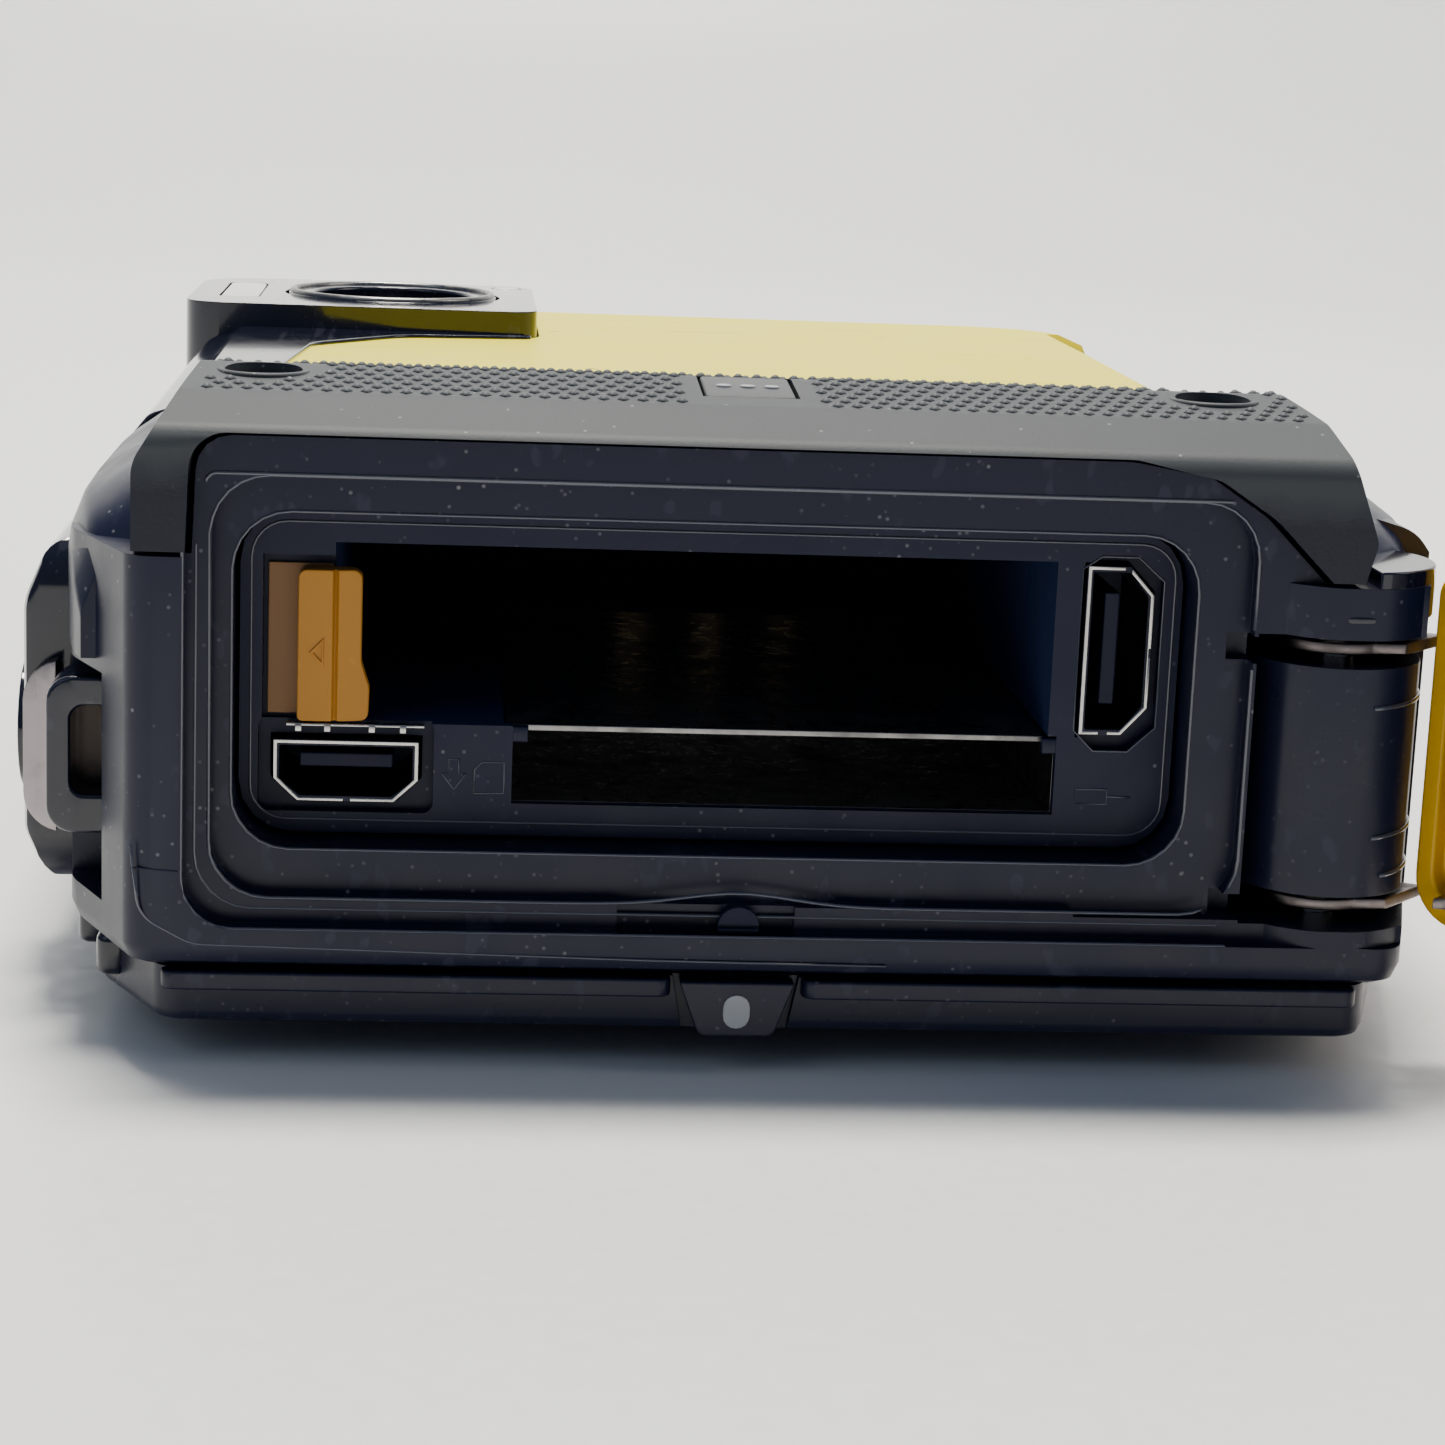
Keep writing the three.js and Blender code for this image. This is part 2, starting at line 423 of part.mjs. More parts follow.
add('flash_window', prism('z', rect(-31.3, 34.1, -28.7, 45.9, 0.5), lens.top - 1.0, lens.top), 'glass');
add('prism_block', box(-27.5, 32, 5.6, -11.6, 48, 19.5).subtract(disc('z', shot.x, shot.y, 4.8, 12, 30, 24)), 'black');
add('lens_tube', disc('x', 40, 12.4, 6.2, -11.6, 17.0, 28), 'black');
add('image_sensor', box(17.0, 34, 6.4, 19.6, 46, 18.4), 'board');
const boardTop = 5.5;
add('main_board', prism('z', rect(-halfW + 5, -2, halfW - 5, 48, 3), boardTop - 1, boardTop), 'board');
const can = { r: 4.4, seat: 0.3 };
add('flash_capacitor', disc('y', halfW - wall - can.r - can.seat, boardTop + can.r + can.seat, can.r, 12, 32, 24), 'gloss');

// ---------------------------------------------------------------- hinge
add('hinge_barrel', disc('z', hinge.x, hinge.y, hinge.barrel, 6.35, 16.9, 36)
  .add(box(hinge.x - 1.6, hinge.y + 2, 6.6, hinge.x + 1.6, hinge.y + hinge.cavity - 0.4, 16.6))
  .subtract(disc('z', hinge.x, hinge.y, hinge.pin + 0.06, 0, 30, 20)), 'black');
add('hinge_pin', disc('z', hinge.x, hinge.y, hinge.pin, shellLow + 0.7, 20.5, 20), 'steel');

// ---------------------------------------------------------------- door, modelled closed and then opened
const closed = [];
const door = (name, solid, tone) => closed.push([name, solid, tone]);
const doorEnd = { x: 22.1, z: 20.2 }; // hinge end of the painted shell
const linerEnd = { x: 20.8, z: 21.4 };
const doorOutline = (g, end) => rounded([
  [-26.0 + g, 4.45 + g, 2.2 - g * 0.5], [end.x - g, 4.45 + g, 1.8 - g * 0.5], [end.x - g, end.z - g * 0.4, 1.2],
  [18.4 - g * 0.6, 24.2 - g * 0.7, 1.5], [14.4 - g * 0.2, 25.4 - g, 3], [-26.0 + g, 25.4 - g, 1.8 - g * 0.5]]);
const lip = 0.9; // width of the painted lip
const rim = 1.3;
const shaftHole = disc('y', lock.x, lock.z, lock.tube + 0.2, -70, -50, 28);
const camSlot = box(lock.x - 2.3, -54.95, 0, lock.x + 2.3, -53, 8);
door('door_shell', prism('y', doorOutline(0, doorEnd), doorFace, recessY - 0.2, 0.7, 'low')
  .subtract(prism('y', doorOutline(lip, doorEnd), -55.2, -50))
  .subtract(shaftHole).subtract(camSlot)
  .subtract(disc('y', lock.x, lock.z, lock.reach + 0.4, -54.95, -50, 40)
    .intersect(box(-60, -60, 0, lock.x + 2.3, -50, 30))), 'yellow');
const plugOutline = (g) => rect(bore.x0 + 0.5 + g, bore.z0 + 0.5 + g, bore.x1 - 0.5 - g, bore.z1 - 0.5 - g, bore.r - 0.5);
const sweep = disc('y', lock.x, lock.z, lock.reach + 0.4, -56, -53.95, 40)
  .add(box(lock.x - 2.5, -56, 0, lock.x + 2.5, -53.95, lock.z));
let liner = prism('y', doorOutline(rim + seam, linerEnd), -55.2, -54.3)
  .add(prism('y', rect(-24.4, 6.1, 18.7, 23.2, 2.4), -54.4, -53.3).intersect(prism('y', doorOutline(rim + 0.5, linerEnd), -60, -50)))
  .subtract(sweep)
  .add(prism('y', plugOutline(0), -53.9, -51.5, 0.3, 'high'));
const grooveRing = prism('y', plugOutline(-2), -52.85, -52.05).subtract(prism('y', plugOutline(0.55), -53, -52));
liner = liner.subtract(grooveRing);
for (const [z0, z1] of armBands) liner = liner.subtract(box(13.4, -56, z0 - armFit, 40, -53.3, z1 + armFit));
door('door_liner', liner, 'black');
door('door_seal', prism('y', plugOutline(-0.2), -52.75, -52.15).subtract(prism('y', plugOutline(0.55), -53, -52)), 'rubber');
armBands.forEach(([z0, z1], i) => {
  const bar = rounded([[hinge.x + 1.6, hinge.y - 1.6, 0.6], [hinge.x - 2.2, hinge.y + 1.2, 0.6], [20.2, landY - 0.25, 0.5],
    [14, landY - 0.45], [14, -55.15], [21.0, -55.15, 1.2], [24.4, -54.3, 1.5]]);
  const arm = prism('z', bar, z0, z1).add(disc('z', hinge.x, hinge.y, 2.6, z0, z1, 28))
    .subtract(disc('z', hinge.x, hinge.y, hinge.pin + 0.06, 0, 30, 20));
  door(`hinge_arm_${i + 1}`, arm, 'steel');
});
const shellCuts = armBands.map(([z0, z1]) => box(13.9, -55.3, z0 - 0.1, 30, -50, z1 + 0.1));
closed[0][1] = shellCuts.reduce((s, c) => s.subtract(c), closed[0][1]);

door('lock_knob', prism('y', circle(lock.x, lock.z, lock.knob, 36),
  doorFace - 1.1, doorFace - 0.1, 0.3, 'low')
  .add(disc('y', lock.x, lock.z, lock.tube, doorFace - 0.2, -54.85, 28))
  .subtract(disc('y', lock.x, lock.z, 2.2, -70, -55.7, 24)), 'black');
door('lock_release', disc('y', lock.x, lock.z, 2.0, doorFace - 1.4, doorFace - 0.2, 24), 'orange');
const camArm = rounded([[lock.x, lock.z - 1.4], [lock.x, lock.z + 1.4], [lock.x - lock.reach, lock.z + 1.4, 0.6],
  [lock.x - lock.reach, lock.z - 1.4, 0.6]]);
door('lock_cam', prism('y', camArm, -54.85, -54.2).add(disc('y', lock.x, lock.z, lock.tube, -54.85, -54.2, 28)), 'steel');

for (const [name, solid, tone] of closed) add(name, turnAboutHinge(solid, doorOpen), tone);

export default group;
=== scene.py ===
import math

import bmesh
import bpy
from mathutils import Matrix, Vector


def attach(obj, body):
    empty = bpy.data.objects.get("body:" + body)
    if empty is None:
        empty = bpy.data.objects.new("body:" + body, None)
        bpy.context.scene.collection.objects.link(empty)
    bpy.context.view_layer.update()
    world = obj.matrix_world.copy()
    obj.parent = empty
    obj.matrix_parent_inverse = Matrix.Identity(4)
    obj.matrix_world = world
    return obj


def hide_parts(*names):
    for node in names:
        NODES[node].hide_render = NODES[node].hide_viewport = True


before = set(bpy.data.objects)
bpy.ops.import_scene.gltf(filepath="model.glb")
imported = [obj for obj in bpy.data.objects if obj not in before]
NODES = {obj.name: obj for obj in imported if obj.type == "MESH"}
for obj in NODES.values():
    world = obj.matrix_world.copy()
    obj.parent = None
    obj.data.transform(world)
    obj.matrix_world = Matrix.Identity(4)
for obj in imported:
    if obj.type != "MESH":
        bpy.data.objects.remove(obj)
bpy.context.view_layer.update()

MM = 0.001
LIFT = 2.4  # height above the table of the datum that the millimetre numbers start from


# ---------------------------------------------------------------- outlines, in millimetres
def rounded(corners, steps=6):
    """Corners (u, v, radius) to a smooth closed outline."""
    out = []
    n = len(corners)
    for i, c in enumerate(corners):
        here = Vector((c[0], c[1]))
        r = c[2] if len(c) > 2 else 0
        if r < 0.01:
            out.append(here)
            continue
        a = (Vector(corners[i - 1][:2]) - here).normalized()
        b = (Vector(corners[(i + 1) % n][:2]) - here).normalized()
        half = math.acos(max(-1, min(1, a.dot(b)))) / 2
        centre = here + (a + b).normalized() * (r / math.sin(half))
        start = here + a * (r / math.tan(half)) - centre
        end = here + b * (r / math.tan(half)) - centre
        turn = math.atan2(start.x * end.y - start.y * end.x, start.dot(end))
        for k in range(steps + 1):
            t = turn * k / steps
            cs, sn = math.cos(t), math.sin(t)
            out.append(centre + Vector((start.x * cs - start.y * sn, start.x * sn + start.y * cs)))
    return out


def rect(u0, v0, u1, v1, r=0, steps=6):
    return rounded([(u0, v0, r), (u1, v0, r), (u1, v1, r), (u0, v1, r)], steps)


def circle(u, v, r, steps=48):
    return [Vector((u + r * math.cos(2 * math.pi * k / steps), v + r * math.sin(2 * math.pi * k / steps)))
            for k in range(steps)]


# ---------------------------------------------------------------- solids
def place(axis, u, v, w):
    if axis == "z":
        return Vector((u, v, w))
    if axis == "y":
        return Vector((u, w, v))
    return Vector((w, u, v))


def metres(p):
    """A point in millimetres from the body's datum, in the frame's metres."""
    return (Vector(p) + Vector((0, 0, LIFT))) * MM


def new_object(name, bm):
    bmesh.ops.recalc_face_normals(bm, faces=bm.faces)
    mesh = bpy.data.meshes.new(name)
    bm.to_mesh(mesh)
    bm.free()
    obj = bpy.data.objects.new(name, mesh)
    bpy.context.scene.collection.objects.link(obj)
    return obj


def prism(axis, outline, w0, w1):
    """Outline swept along an axis: (x, y) for z, (x, z) for y and (y, z) for x."""
    bm = bmesh.new()
    rings = [[bm.verts.new(metres(place(axis, p[0], p[1], w))) for p in outline] for w in (w0, w1)]
    n = len(outline)
    for k in range(n):
        bm.faces.new((rings[0][k], rings[0][(k + 1) % n], rings[1][(k + 1) % n], rings[1][k]))
    bm.faces.new(rings[0][::-1])
    bm.faces.new(rings[1])
    return new_object("tool", bm)


def loft(axis, loops):
    """Loops of (outline, w), all with the same number of points, joined in order."""
    bm = bmesh.new()
    rings = [[bm.verts.new(metres(place(axis, p[0], p[1], w))) for p in outline] for outline, w in loops]
    n = len(rings[0])
    for a, b in zip(rings, rings[1:]):
        for k in range(n):
            bm.faces.new((a[k], a[(k + 1) % n], b[(k + 1) % n], b[k]))
    bm.faces.new(rings[0][::-1])
    bm.faces.new(rings[-1])
    return new_object("tool", bm)


def box(x0, y0, z0, x1, y1, z1):
    return prism("z", rect(x0, y0, x1, y1), z0, z1)


def disc(axis, u, v, r, w0, w1, steps=48):
    return prism(axis, circle(u, v, r, steps), w0, w1)


def ring(axis, outer, inner, w0, w1):
    """Closed frame between two outlines that have the same number of points."""
    bm = bmesh.new()
    loops = [[bm.verts.new(metres(place(axis, p[0], p[1], w))) for p in line]
             for line, w in ((outer, w0), (outer, w1), (inner, w1), (inner, w0))]
    n = len(outer)
    for a, b in zip(loops, loops[1:] + loops[:1]):
        for k in range(n):
            bm.faces.new((a[k], a[(k + 1) % n], b[(k + 1) % n], b[k]))
    return new_object("tool", bm)


def bead(points, radius, closed=False, sides=8):
    """Thin round bar along points in millimetres, with closed ends or as a closed loop."""
    path = [Vector(p) for p in points]
    count = len(path)
    bm = bmesh.new()
    loops = []
    side = None
    turns = [2 * math.pi * j / sides for j in range(sides)]
    for k, here in enumerate(path):
        before = path[k - 1] if closed or k else here
        after = path[(k + 1) % count] if closed or k < count - 1 else here
        along = (after - before).normalized()
        if side is None:
            side = along.orthogonal().normalized()
        side = (side - along * side.dot(along)).normalized()
        other = along.cross(side)
        around = [side * math.cos(t) + other * math.sin(t) for t in turns]
        loops.append([bm.verts.new(metres(here + way * radius)) for way in around])
    pairs = list(zip(loops, loops[1:]))
    if closed:
        pairs.append((loops[-1], loops[0]))
    else:
        bm.faces.new(loops[0][::-1])
        bm.faces.new(loops[-1])
    for a, b in pairs:
        shift = 0
        if a is loops[-1]:
            shift = min(range(sides), key=lambda j: (b[j].co - a[0].co).length)
        for j in range(sides):
            bm.faces.new((a[j], a[(j + 1) % sides], b[(j + 1 + shift) % sides], b[(j + shift) % sides]))
    return new_object("tool", bm)


def bead_at(outline, y, radius, closed=True, sides=8):
    """Bead along an (x, z) outline at one y."""
    return bead([(p[0], y, p[1]) for p in outline], radius, closed, sides)


def copy_of(node, name):
    """A new mesh that starts as a CAD node's shape, with its flat faces joined up."""
    bm = bmesh.new()
    bm.from_mesh(NODES[node].data)
    bmesh.ops.remove_doubles(bm, verts=bm.verts, dist=2e-6)
    bmesh.ops.dissolve_limit(bm, angle_limit=math.radians(0.3), verts=bm.verts, edges=bm.edges)
    return new_object(name, bm)


def bake(obj):
    """Makes the modifiers' result the object's own mesh."""
    graph = bpy.context.evaluated_depsgraph_get()
    graph.update()
    mesh = bpy.data.meshes.new_from_object(obj.evaluated_get(graph))
    old = obj.data
    obj.modifiers.clear()
    obj.data = mesh
    bpy.data.meshes.remove(old)
    return obj


def combine(obj, tools, operation):
    for tool in tools:
        mod = obj.modifiers.new("join", "BOOLEAN")
        mod.operation = operation
        mod.solver = "EXACT"
        mod.object = tool
    bake(obj)
    for tool in tools:
        mesh = tool.data
        bpy.data.objects.remove(tool)
        bpy.data.meshes.remove(mesh)
    return obj


def cut(obj, *tools):
    return combine(obj, tools, "DIFFERENCE")


def add(obj, *tools):
    return combine(obj, tools, "UNION")


def keep(obj, *tools):
    return combine(obj, tools, "INTERSECT")


def soften(obj, width=0.15, segments=2, angle=28, weld=False):
    """Rounds every sharp edge by `width` mm, with smooth shading across it."""
    if weld:
        mod = obj.modifiers.new("weld", "WELD")
        mod.merge_threshold = 2e-6
        mod = obj.modifiers.new("flat", "DECIMATE")
        mod.decimate_type = "DISSOLVE"
        mod.angle_limit = math.radians(0.4)
    if width > 0:
        mod = obj.modifiers.new("edge", "BEVEL")
        mod.width = width * MM
        mod.segments = segments
        mod.limit_method = "ANGLE"
        mod.angle_limit = math.radians(angle)
        mod.use_clamp_overlap = True
        mod.harden_normals = False
        mod.miter_outer = "MITER_ARC"
    for poly in obj.data.polygons:
        poly.use_smooth = True
    mod = obj.modifiers.new("shade", "WEIGHTED_NORMAL")
    mod.keep_sharp = True
    mod.weight = 80
    return obj


# ---------------------------------------------------------------- materials
class Nodes:
    """Short words for building a node material."""

    def __init__(self, name):
        self.mat = bpy.data.materials.new(name)
        self.mat.use_nodes = True
        self.tree = self.mat.node_tree
        self.tree.nodes.clear()
        self.out = self.tree.nodes.new("ShaderNodeOutputMaterial")
        self.bsdf = self.tree.nodes.new("ShaderNodeBsdfPrincipled")
        self.link(self.bsdf.outputs[0], self.out.inputs[0])
        self.coord = self.tree.nodes.new("ShaderNodeTexCoord").outputs["Object"]

    def link(self, a, b):
        self.tree.links.new(a, b)

    def node(self, kind, **values):
        node = self.tree.nodes.new(kind)
        for key, value in values.items():
            if hasattr(node, key):
                setattr(node, key, value)
        return node

    def set(self, socket, value):
        self.bsdf.inputs[socket].default_value = value

    def stretch(self, scale):
        mapping = self.node("ShaderNodeMapping")
        mapping.inputs["Scale"].default_value = scale
        self.link(self.coord, mapping.inputs["Vector"])
        return mapping.outputs[0]

    def noise(self, scale, detail=4, rough=0.55, vector=None):
        node = self.node("ShaderNodeTexNoise")
        node.inputs["Scale"].default_value = scale
        node.inputs["Detail"].default_value = detail
        node.inputs["Roughness"].default_value = rough
        self.link(vector or self.coord, node.inputs["Vector"])
        return node.outputs["Fac"]

    def specks(self, scale, low, high, vector=None):
        """Scattered points: 1 inside a speck, 0 away from it."""
        node = self.node("ShaderNodeTexVoronoi")
        node.inputs["Scale"].default_value = scale
        node.inputs["Randomness"].default_value = 1.0
        self.link(vector or self.coord, node.inputs["Vector"])
        return self.remap(node.outputs["Distance"], low, high, 1, 0)

    def remap(self, value, a, b, c, d):
        node = self.node("ShaderNodeMapRange")
        for key, number in zip(("From Min", "From Max", "To Min", "To Max"), (a, b, c, d)):
            node.inputs[key].default_value = number
        self.link(value, node.inputs["Value"])
        return node.outputs[0]

    def math(self, operation, a, b):
        node = self.node("ShaderNodeMath", operation=operation)
        for socket, value in zip(node.inputs, (a, b)):
            if isinstance(value, (int, float)):
                socket.default_value = value
            else:
                self.link(value, socket)
        return node.outputs[0]

    def mix(self, factor, a, b):
        node = self.node("ShaderNodeMix", data_type="RGBA")
        self.link(factor, node.inputs["Factor"])
        for key, value in (("A", a), ("B", b)):
            socket = [s for s in node.inputs if s.name == key and s.type == "RGBA"][0]
            if isinstance(value, tuple):
                socket.default_value = (*value, 1)
            else:
                self.link(value, socket)
        return [s for s in node.outputs if s.type == "RGBA"][0]

    def color(self, socket):
        self.link(socket, self.bsdf.inputs["Base Color"])

    def rough(self, socket):
        self.link(socket, self.bsdf.inputs["Roughness"])

    def bump(self, height, distance, strength=0.5):
        node = self.node("ShaderNodeBump")
        node.inputs["Distance"].default_value = distance
        node.inputs["Strength"].default_value = strength
        self.link(height, node.inputs["Height"])
        self.link(node.outputs[0], self.bsdf.inputs["Normal"])


def plastic(name, base, rough=0.4, spread=0.12, grain=2600, grain_depth=1.2e-5, dust=0.0,
            dust_color=(0.45, 0.46, 0.48), scratch=0.25, coat=0.0, specular=0.3):
    """Moulded plastic: a faint grain, uneven gloss, hairline scratches and dust specks."""
    n = Nodes(name)
    cloud = n.noise(60, 5)
    darker = tuple(c * 0.82 for c in base)
    lighter = tuple(min(1, c * 1.15 + 0.001) for c in base)
    tone = n.mix(cloud, darker, lighter)
    hair = n.noise(900, 2, 0.4, n.stretch((1, 0.05, 0.6)))
    line = n.remap(hair, 0.655, 0.70, 0, scratch)
    tone = n.mix(line, tone, tuple(min(1, c * 2.2 + 0.05) for c in base))
    if dust > 0:
        patches = n.remap(n.noise(130, 3), 0.42, 0.72, 0, 1)
        fine = n.math("MULTIPLY", n.specks(1500, 0.06, 0.17), patches)
        coarse = n.specks(420, 0.018, 0.05)
        amount = n.math("MULTIPLY", n.math("MAXIMUM", fine, coarse), dust)
        tone = n.mix(amount, tone, dust_color)
    n.color(tone)
    n.rough(n.math("ADD", n.remap(n.noise(240, 4), 0.3, 0.7, rough - spread / 2, rough + spread / 2),
                   n.math("MULTIPLY", line, 0.2)))
    n.bump(n.math("ADD", n.noise(grain, 3), n.math("MULTIPLY", line, -0.6)), grain_depth, 0.35)
    n.set("Specular IOR Level", specular)
    if coat:
        n.set("Coat Weight", coat)
        n.set("Coat Roughness", 0.06)
    return n.mat


def metal(name, base, rough=0.28, scale=(1, 1, 0.1), grime=0.3):
    """Metal with fine streaks along one direction and patches of grime."""
    n = Nodes(name)
    streak = n.noise(1600, 3, 0.5, n.stretch(scale))
    dirt = n.remap(n.noise(420, 5), 0.5, 0.75, 0, grime)
    n.color(n.mix(dirt, base, tuple(c * 0.3 for c in base)))
    n.rough(n.math("ADD", n.remap(streak, 0.3, 0.7, rough - 0.08, rough + 0.1),
                   n.math("MULTIPLY", dirt, 0.4)))
    n.bump(streak, 8e-6, 0.3)
    n.set("Metallic", 1.0)
    return n.mat


def paint(name, base, deep, rough=0.3):
    """Glossy paint: slight mottling, chips of dirt and fine scratches under a clear coat."""
    n = Nodes(name)
    tone = n.mix(n.noise(35, 4), deep, base)
    hair = n.remap(n.noise(700, 2, 0.4, n.stretch((0.08, 1, 1))), 0.66, 0.71, 0, 0.4)
    tone = n.mix(hair, tone, tuple(c * 0.55 for c in base))
    stain = n.math("MULTIPLY", n.specks(210, 0.03, 0.12), n.remap(n.noise(90, 3), 0.5, 0.6, 0, 0.55))
    tone = n.mix(stain, tone, (0.16, 0.12, 0.03))
    n.color(tone)
    n.rough(n.remap(n.noise(300, 4), 0.3, 0.7, rough - 0.06, rough + 0.08))
    n.bump(n.noise(1400, 3), 1.5e-5, 0.25)
    n.set("Coat Weight", 0.12)
    n.set("Coat Roughness", 0.2)
    n.set("Specular IOR Level", 0.22)
    return n.mat


def glass(name, tint, rough=0.03):
    """Dark or frosted window with a clear, shiny coat."""
    n = Nodes(name)
    n.color(n.mix(n.noise(200, 3), tint, tuple(c * 0.8 for c in tint)))
    n.rough(n.remap(n.noise(500, 4), 0.3, 0.7, rough, rough + 0.05))
    n.set("Coat Weight", 1.0)
    n.set("Coat Roughness", 0.02)
    n.set("Specular IOR Level", 0.7)
    return n.mat


def grip_rubber(name, dull, bright):
    """Grey rubber on top that turns to bare glossy plastic low on the skirts."""
    n = Nodes(name)
    split = n.node("ShaderNodeSeparateXYZ")
    n.link(n.coord, split.inputs[0])
    uneven = n.math("ADD", split.outputs["Z"], n.remap(n.noise(160, 3), 0.3, 0.7, -0.0006, 0.0006))
    bare = n.remap(uneven, 0.0258, 0.0272, 1, 0)
    tone = n.mix(n.noise(90, 5), dull, bright)
    dirt = n.math("MULTIPLY", n.specks(2300, 0.08, 0.2), n.remap(n.noise(210, 3), 0.45, 0.65, 0, 0.7))
    tone = n.mix(dirt, tone, (0.05, 0.052, 0.058))
    dust = n.math("MULTIPLY", n.specks(900, 0.03, 0.09), 0.5)
    tone = n.mix(dust, tone, (0.42, 0.42, 0.41))
    n.color(n.mix(bare, tone, (0.006, 0.008, 0.018)))
    n.rough(n.remap(bare, 0, 1, 0.55, 0.15))
    n.bump(n.noise(5200, 3), 2.2e-5, 0.4)
    n.set("Specular IOR Level", 0.28)
    return n.mat


M = {
    "body": plastic("body_black", (0.0080, 0.0105, 0.028), 0.30, dust=0.25, scratch=0.2),
    "frame": plastic("frame_black", (0.0055, 0.0080, 0.026), 0.34, dust=0.4, scratch=0.2, grain=3400),
    "plate": plastic("plate_black", (0.0060, 0.0090, 0.030), 0.46, dust=0.35, scratch=0.05, grain=4200),
    "well": plastic("well_black", (0.0040, 0.0070, 0.026), 0.55, dust=0.0, scratch=0.0, specular=0.3),
    # Lighter navy for the bay's deep inside: painted light where little lamp light reaches.
    "deep": plastic("well_painted_light", (0.016, 0.028, 0.085), 0.6, dust=0.0, scratch=0.0, specular=0.2),
    "gloss": plastic("gloss_black", (0.0060, 0.0070, 0.018), 0.12, 0.06, dust=0.2, scratch=0.25, coat=0.6),
    # Lighter glossy black for thin beads along edges, ribs and pictograms: painted highlight lines.
    "edge": plastic("painted_highlight_gloss", (0.055, 0.062, 0.085), 0.16, 0.05, dust=0.1, scratch=0.0, coat=1.0),
    # Two copies of one grip rubber, the band darker and the studs lighter: painted shade and painted light.
    "grip": grip_rubber("grip_rubber", (0.038, 0.044, 0.050), (0.052, 0.059, 0.066)),
    "texture": grip_rubber("grip_studs_painted_light", (0.058, 0.065, 0.074), (0.085, 0.094, 0.104)),
    "pad": plastic("pad_grey", (0.062, 0.067, 0.074), 0.5, grain=5200, scratch=0.1),
    "orange": plastic("orange_plastic", (0.50, 0.215, 0.022), 0.42, dust=0.1,
                      dust_color=(0.75, 0.5, 0.2), scratch=0.1),
    # The orange plastic darkened for the latch strip: painted shade on the latch's lower part.
    "orange_in_painted_shade": plastic("orange_painted_shade", (0.30, 0.155, 0.065), 0.5, scratch=0.0),
    "rubber": plastic("seal_rubber", (0.02, 0.02, 0.022), 0.7, dust=0.6, scratch=0.0, specular=0.3),
    "steel": metal("steel", (0.58, 0.56, 0.53), 0.24),
    "arm": metal("arm_steel", (0.24, 0.205, 0.20), 0.34, grime=0.6),
    "socket": metal("socket_steel", (0.30, 0.29, 0.28), 0.30, grime=0.6),
    "socket_dark": metal("socket_inside", (0.028, 0.030, 0.042), 0.38, grime=0.5),
    "chrome": metal("ring_metal", (0.30, 0.27, 0.275), 0.18, (1, 1, 0.05), 0.35),
    "bronze": metal("worn_plate", (0.115, 0.095, 0.085), 0.5, grime=0.5),
    "brass": metal("contact_brass", (0.60, 0.45, 0.22), 0.3),
    "front": paint("front_paint", (0.82, 0.73, 0.030), (0.77, 0.66, 0.018), 0.55),
    "door": paint("door_paint", (0.98, 0.55, 0.002), (0.88, 0.46, 0.001), 0.26),
    "window": glass("window_black", (0.006, 0.007, 0.009)),
    "lens": glass("lens_glass", (0.010, 0.008, 0.022)),
    "clear": glass("clear_window", (0.35, 0.36, 0.36), 0.1),
    "board": plastic("board_green", (0.02, 0.10, 0.05), 0.4, scratch=0.0),
    "mark": plastic("mark_grey", (0.34, 0.35, 0.37), 0.5, scratch=0.1),
}


def wear(obj, key):
    obj.data.materials.clear()
    obj.data.materials.append(M[key])
    return obj


def piece(obj, name, key, body, *stands_for, slot=None, width=0.15, segments=2, angle=28):
    """Finishes a new piece: rounded edges, a material, a body to ride on and the nodes it stands for."""
    obj.name = name
    obj.data.name = name
    wear(obj, key)
    soften(obj, width, segments, angle)
    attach(obj, body)
    if stands_for:
        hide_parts(*stands_for)
    return obj


# ---------------------------------------------------------------- CAD nodes that stay: material, edge width
LOOKS = {
    "rear_cover": ("body", 0.25), "index_tab": ("body", 0.1), "index_mark": ("mark", 0.03),
    "screen_window": ("window", 0.2), "screen_panel": ("well", 0.1), "key_board": ("board", 0.0),
    "body_shell": ("body", 0.35), "top_deck": ("gloss", 0.3), "shutter_ring": ("chrome", 0.2),
    "speaker_grille": ("body", 0.06), "tripod_bush": ("brass", 0.2), "card_socket": ("socket", 0.05),
    "battery_contact_1": ("brass", 0.1), "battery_contact_2": ("brass", 0.1),
    "battery_contact_3": ("brass", 0.1),
    "hdmi_shell": ("socket_dark", 0.06), "usb_shell": ("socket_dark", 0.06), "hdmi_tongue": ("well", 0.08),
    # latch_strip wears the darkened orange: painted shade.
    "usb_tongue": ("well", 0.08), "latch_strip": ("orange_in_painted_shade", 0.05),
    "grip_screw_1": ("gloss", 0.15), "grip_screw_2": ("gloss", 0.15),
    "lens_ring": ("gloss", 0.25), "lens_window": ("lens", 0.1), "front_element": ("lens", 0.3),
    "flash_window": ("clear", 0.15), "prism_block": ("well", 0.2),
    "lens_tube": ("well", 0.2), "image_sensor": ("board", 0.0), "main_board": ("board", 0.0),
    "flash_capacitor": ("gloss", 0.3), "hinge_barrel": ("body", 0.3), "hinge_pin": ("steel", 0.1),
    "door_liner": ("body", 0.2), "door_seal": ("rubber", 0.15), "lock_knob": ("body", 0.25),
    "lock_cam": ("steel", 0.1), "lock_release": ("orange", 0.2), "shutter_button": ("gloss", 0.3),
    "power_button": ("gloss", 0.25), "zoom_rocker": ("body", 0.3), "movie_button": ("body", 0.25),
    "playback_button": ("body", 0.25), "mode_button": ("body", 0.25), "menu_button": ("body", 0.25),
    "delete_button": ("body", 0.25), "selector_ring": ("body", 0.3), "ok_button": ("body", 0.3),
}
for node, (key, width) in LOOKS.items():
    wear(NODES[node], key)
    soften(NODES[node], width, 2, 30, weld=True)


